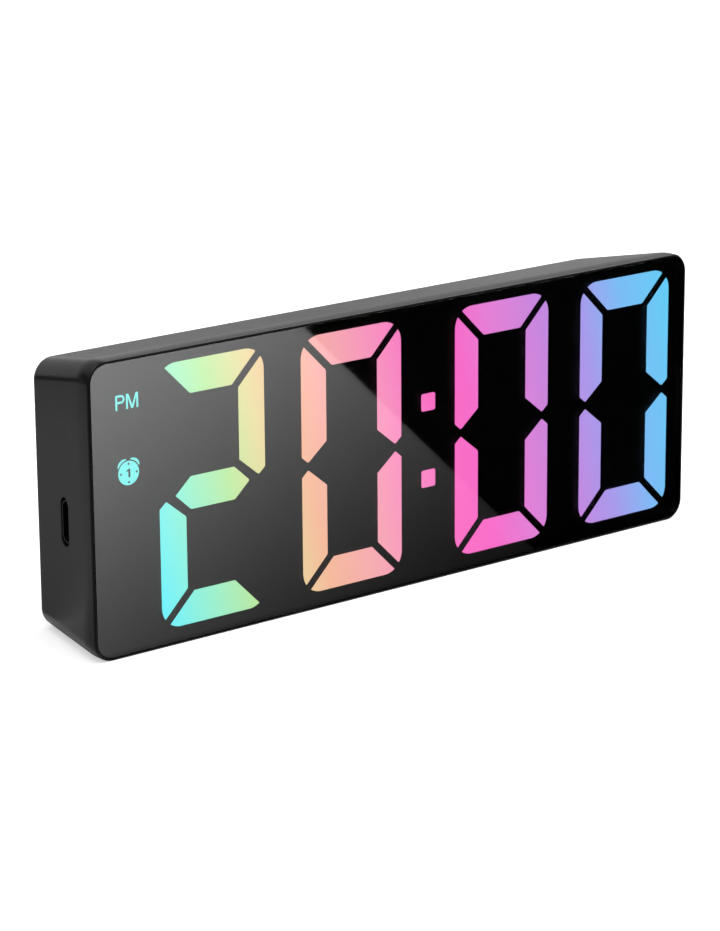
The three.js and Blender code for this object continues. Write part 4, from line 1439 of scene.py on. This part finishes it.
# Cards on the floor that only mirrored rays meet; what shows in the pane is given in the pane's own x and z
cards = {
    "height": 0.3,
    "reach": 900.0,
    "beyond": 0.5,                   # gap between the case's ends and the cards beside them
    "lineTop": (-28.4, 62.0),        # the slanting line beyond which the pane mirrors black
    "lineFoot": (36.2, 0.7),
    "paneMargin": 1.5,
    "paneFoot": 0.5,
}
# The pane's sheen: a long soft band of light
sheen = {"peak": 2.45, "x": -180.0, "z": 51.0, "lean": 22.5, "width": 47.6, "length": 236.0}
# The light that the left side mirrors, by its direction round the case's rear left corner
sideGlow = {
    "directions": [
        (25, 0.5), (45, 0.5), (60, 0.28), (80, 0.27), (106, 0.30),
        (128, 0.57), (150, 0.6), (180, 0.45), (270, 0.35)],
    # nearShare is the share of the glow kept right beside the case: a painted shadow of the case on the
    # floor
    "nearShare": 0.78,
    "nearEnd": 110.0,
    "farStart": 200.0,
    "farEnd": 280.0,
}
# The light behind the case that its top mirrors, by the direction round its rear right corner
rearLight = {"glow": 0.5, "darkBelow": 25.0, "fullFrom": 50.0}


def makeCard(name, outline, lift, glowOf=None):
    # A card without a glow is plain black
    card = levelSheet(name, outline, cards["height"] + lift)
    fixed = {"Base Color": black, "Specular IOR Level": 0.0, "Roughness": 1.0}
    fixed["Emission Strength"] = 1.0 if glowOf else 0.0
    varying = (lambda tree: {"Emission Color": grey(tree, glowOf(tree))}) if glowOf else None
    card.data.materials.append(makeMaterial(name, fixed, varying))
    for ray in ("camera", "diffuse", "shadow", "volume_scatter"):
        setattr(card, f"visible_{ray}", False)


def mirroredCamera():
    # The photograph's camera as the pane mirrors it
    place = cameraFrame()[0]
    return Vector((place.x, 2 * frontY - place.y, place.z))


def mirroredOnFloor(x, z):
    # The floor point that the camera sees in the pane at an x and a z
    eye = mirroredCamera()
    reach = (eye.z - cards["height"]) / (eye.z - z)
    return (eye.x + (x - eye.x) * reach, eye.y + (frontY - eye.y) * reach)


def paneGlow(tree):
    # Carries the floor point back to the pane, where the band of light is laid out
    eye = mirroredCamera()
    x, y, _ = tree.axes()
    share = (frontY - eye.y) / (y / mm - eye.y)
    across = eye.x + share * (x / mm - eye.x) - sheen["x"]
    above = eye.z * (1 - share) - sheen["z"]
    lean = math.radians(sheen["lean"])
    along = across * math.cos(lean) + above * math.sin(lean)
    aside = above * math.cos(lean) - across * math.sin(lean)
    fall = along * along / sheen["length"] ** 2 + aside * aside / sheen["width"] ** 2
    return (fall * -0.5).exponential() * sheen["peak"]


def aroundCorner(tree, cornerX):
    # How far a floor point lies across and behind a rear corner, and in which direction
    x, y, _ = tree.axes()
    across, away = x / mm - cornerX, y / mm - backY
    return across, away, away.directionWith(across)


def leftGlow(tree):
    across, away, turn = aroundCorner(tree, leftX)
    stops = [(degrees / 360, shaded(white, level)) for degrees, level in sideGlow["directions"]]
    glow = tree.ramp((turn + (turn < 0) * 360) / 360, stops)
    reach = (across * across + away * away) ** 0.5
    # dimmer close to the case: a painted shadow of the case on the floor that the left side mirrors
    near = sideGlow["nearShare"] + slope(reach, 0.0, sideGlow["nearEnd"]) * (1 - sideGlow["nearShare"])
    return glow * near * (1 - slope(reach, sideGlow["farStart"], sideGlow["farEnd"]))


def rearGlow(tree):
    # Dark towards the right, so that the case's right edge stays dark
    turn = aroundCorner(tree, -leftX)[2]
    return slope(turn, rearLight["darkBelow"], rearLight["fullFrom"]) * rearLight["glow"]


def makeCards():
    reach, margin = cards["reach"], cards["paneMargin"]
    left, right = leftX - cards["beyond"], cards["beyond"] - leftX
    top = caseHeight + margin
    dark = [(-reach, frontY), (-reach, -reach), (reach, -reach)]
    dark += [(reach, backY), (right, backY), (right, frontY)]
    aside = [(-reach, -reach), (left, frontY), (left, backY), (left + reach, backY + reach), (-reach, reach)]
    behind = [(left, backY), (reach, backY), (left + reach, backY + reach)]
    pane = [(leftX - margin, cards["paneFoot"]), (leftX - margin, top), (cards["lineTop"][0], top)]
    pane += [cards["lineTop"], cards["lineFoot"]]
    makeCard("blackCard", dark, 0.0)
    makeCard("leftCard", aside, 0.1, leftGlow)
    makeCard("rearCard", behind, 0.0, rearGlow)
    makeCard("paneCard", [mirroredOnFloor(x, z) for x, z in pane], 0.2, paneGlow)


scene.view_settings.view_transform = "Standard"
makeCamera()
lightPathWorld()
makeFloor()
makeCards()
for name, lamp in lamps.items():
    addLamp(name, **lamp)
print("stage set")
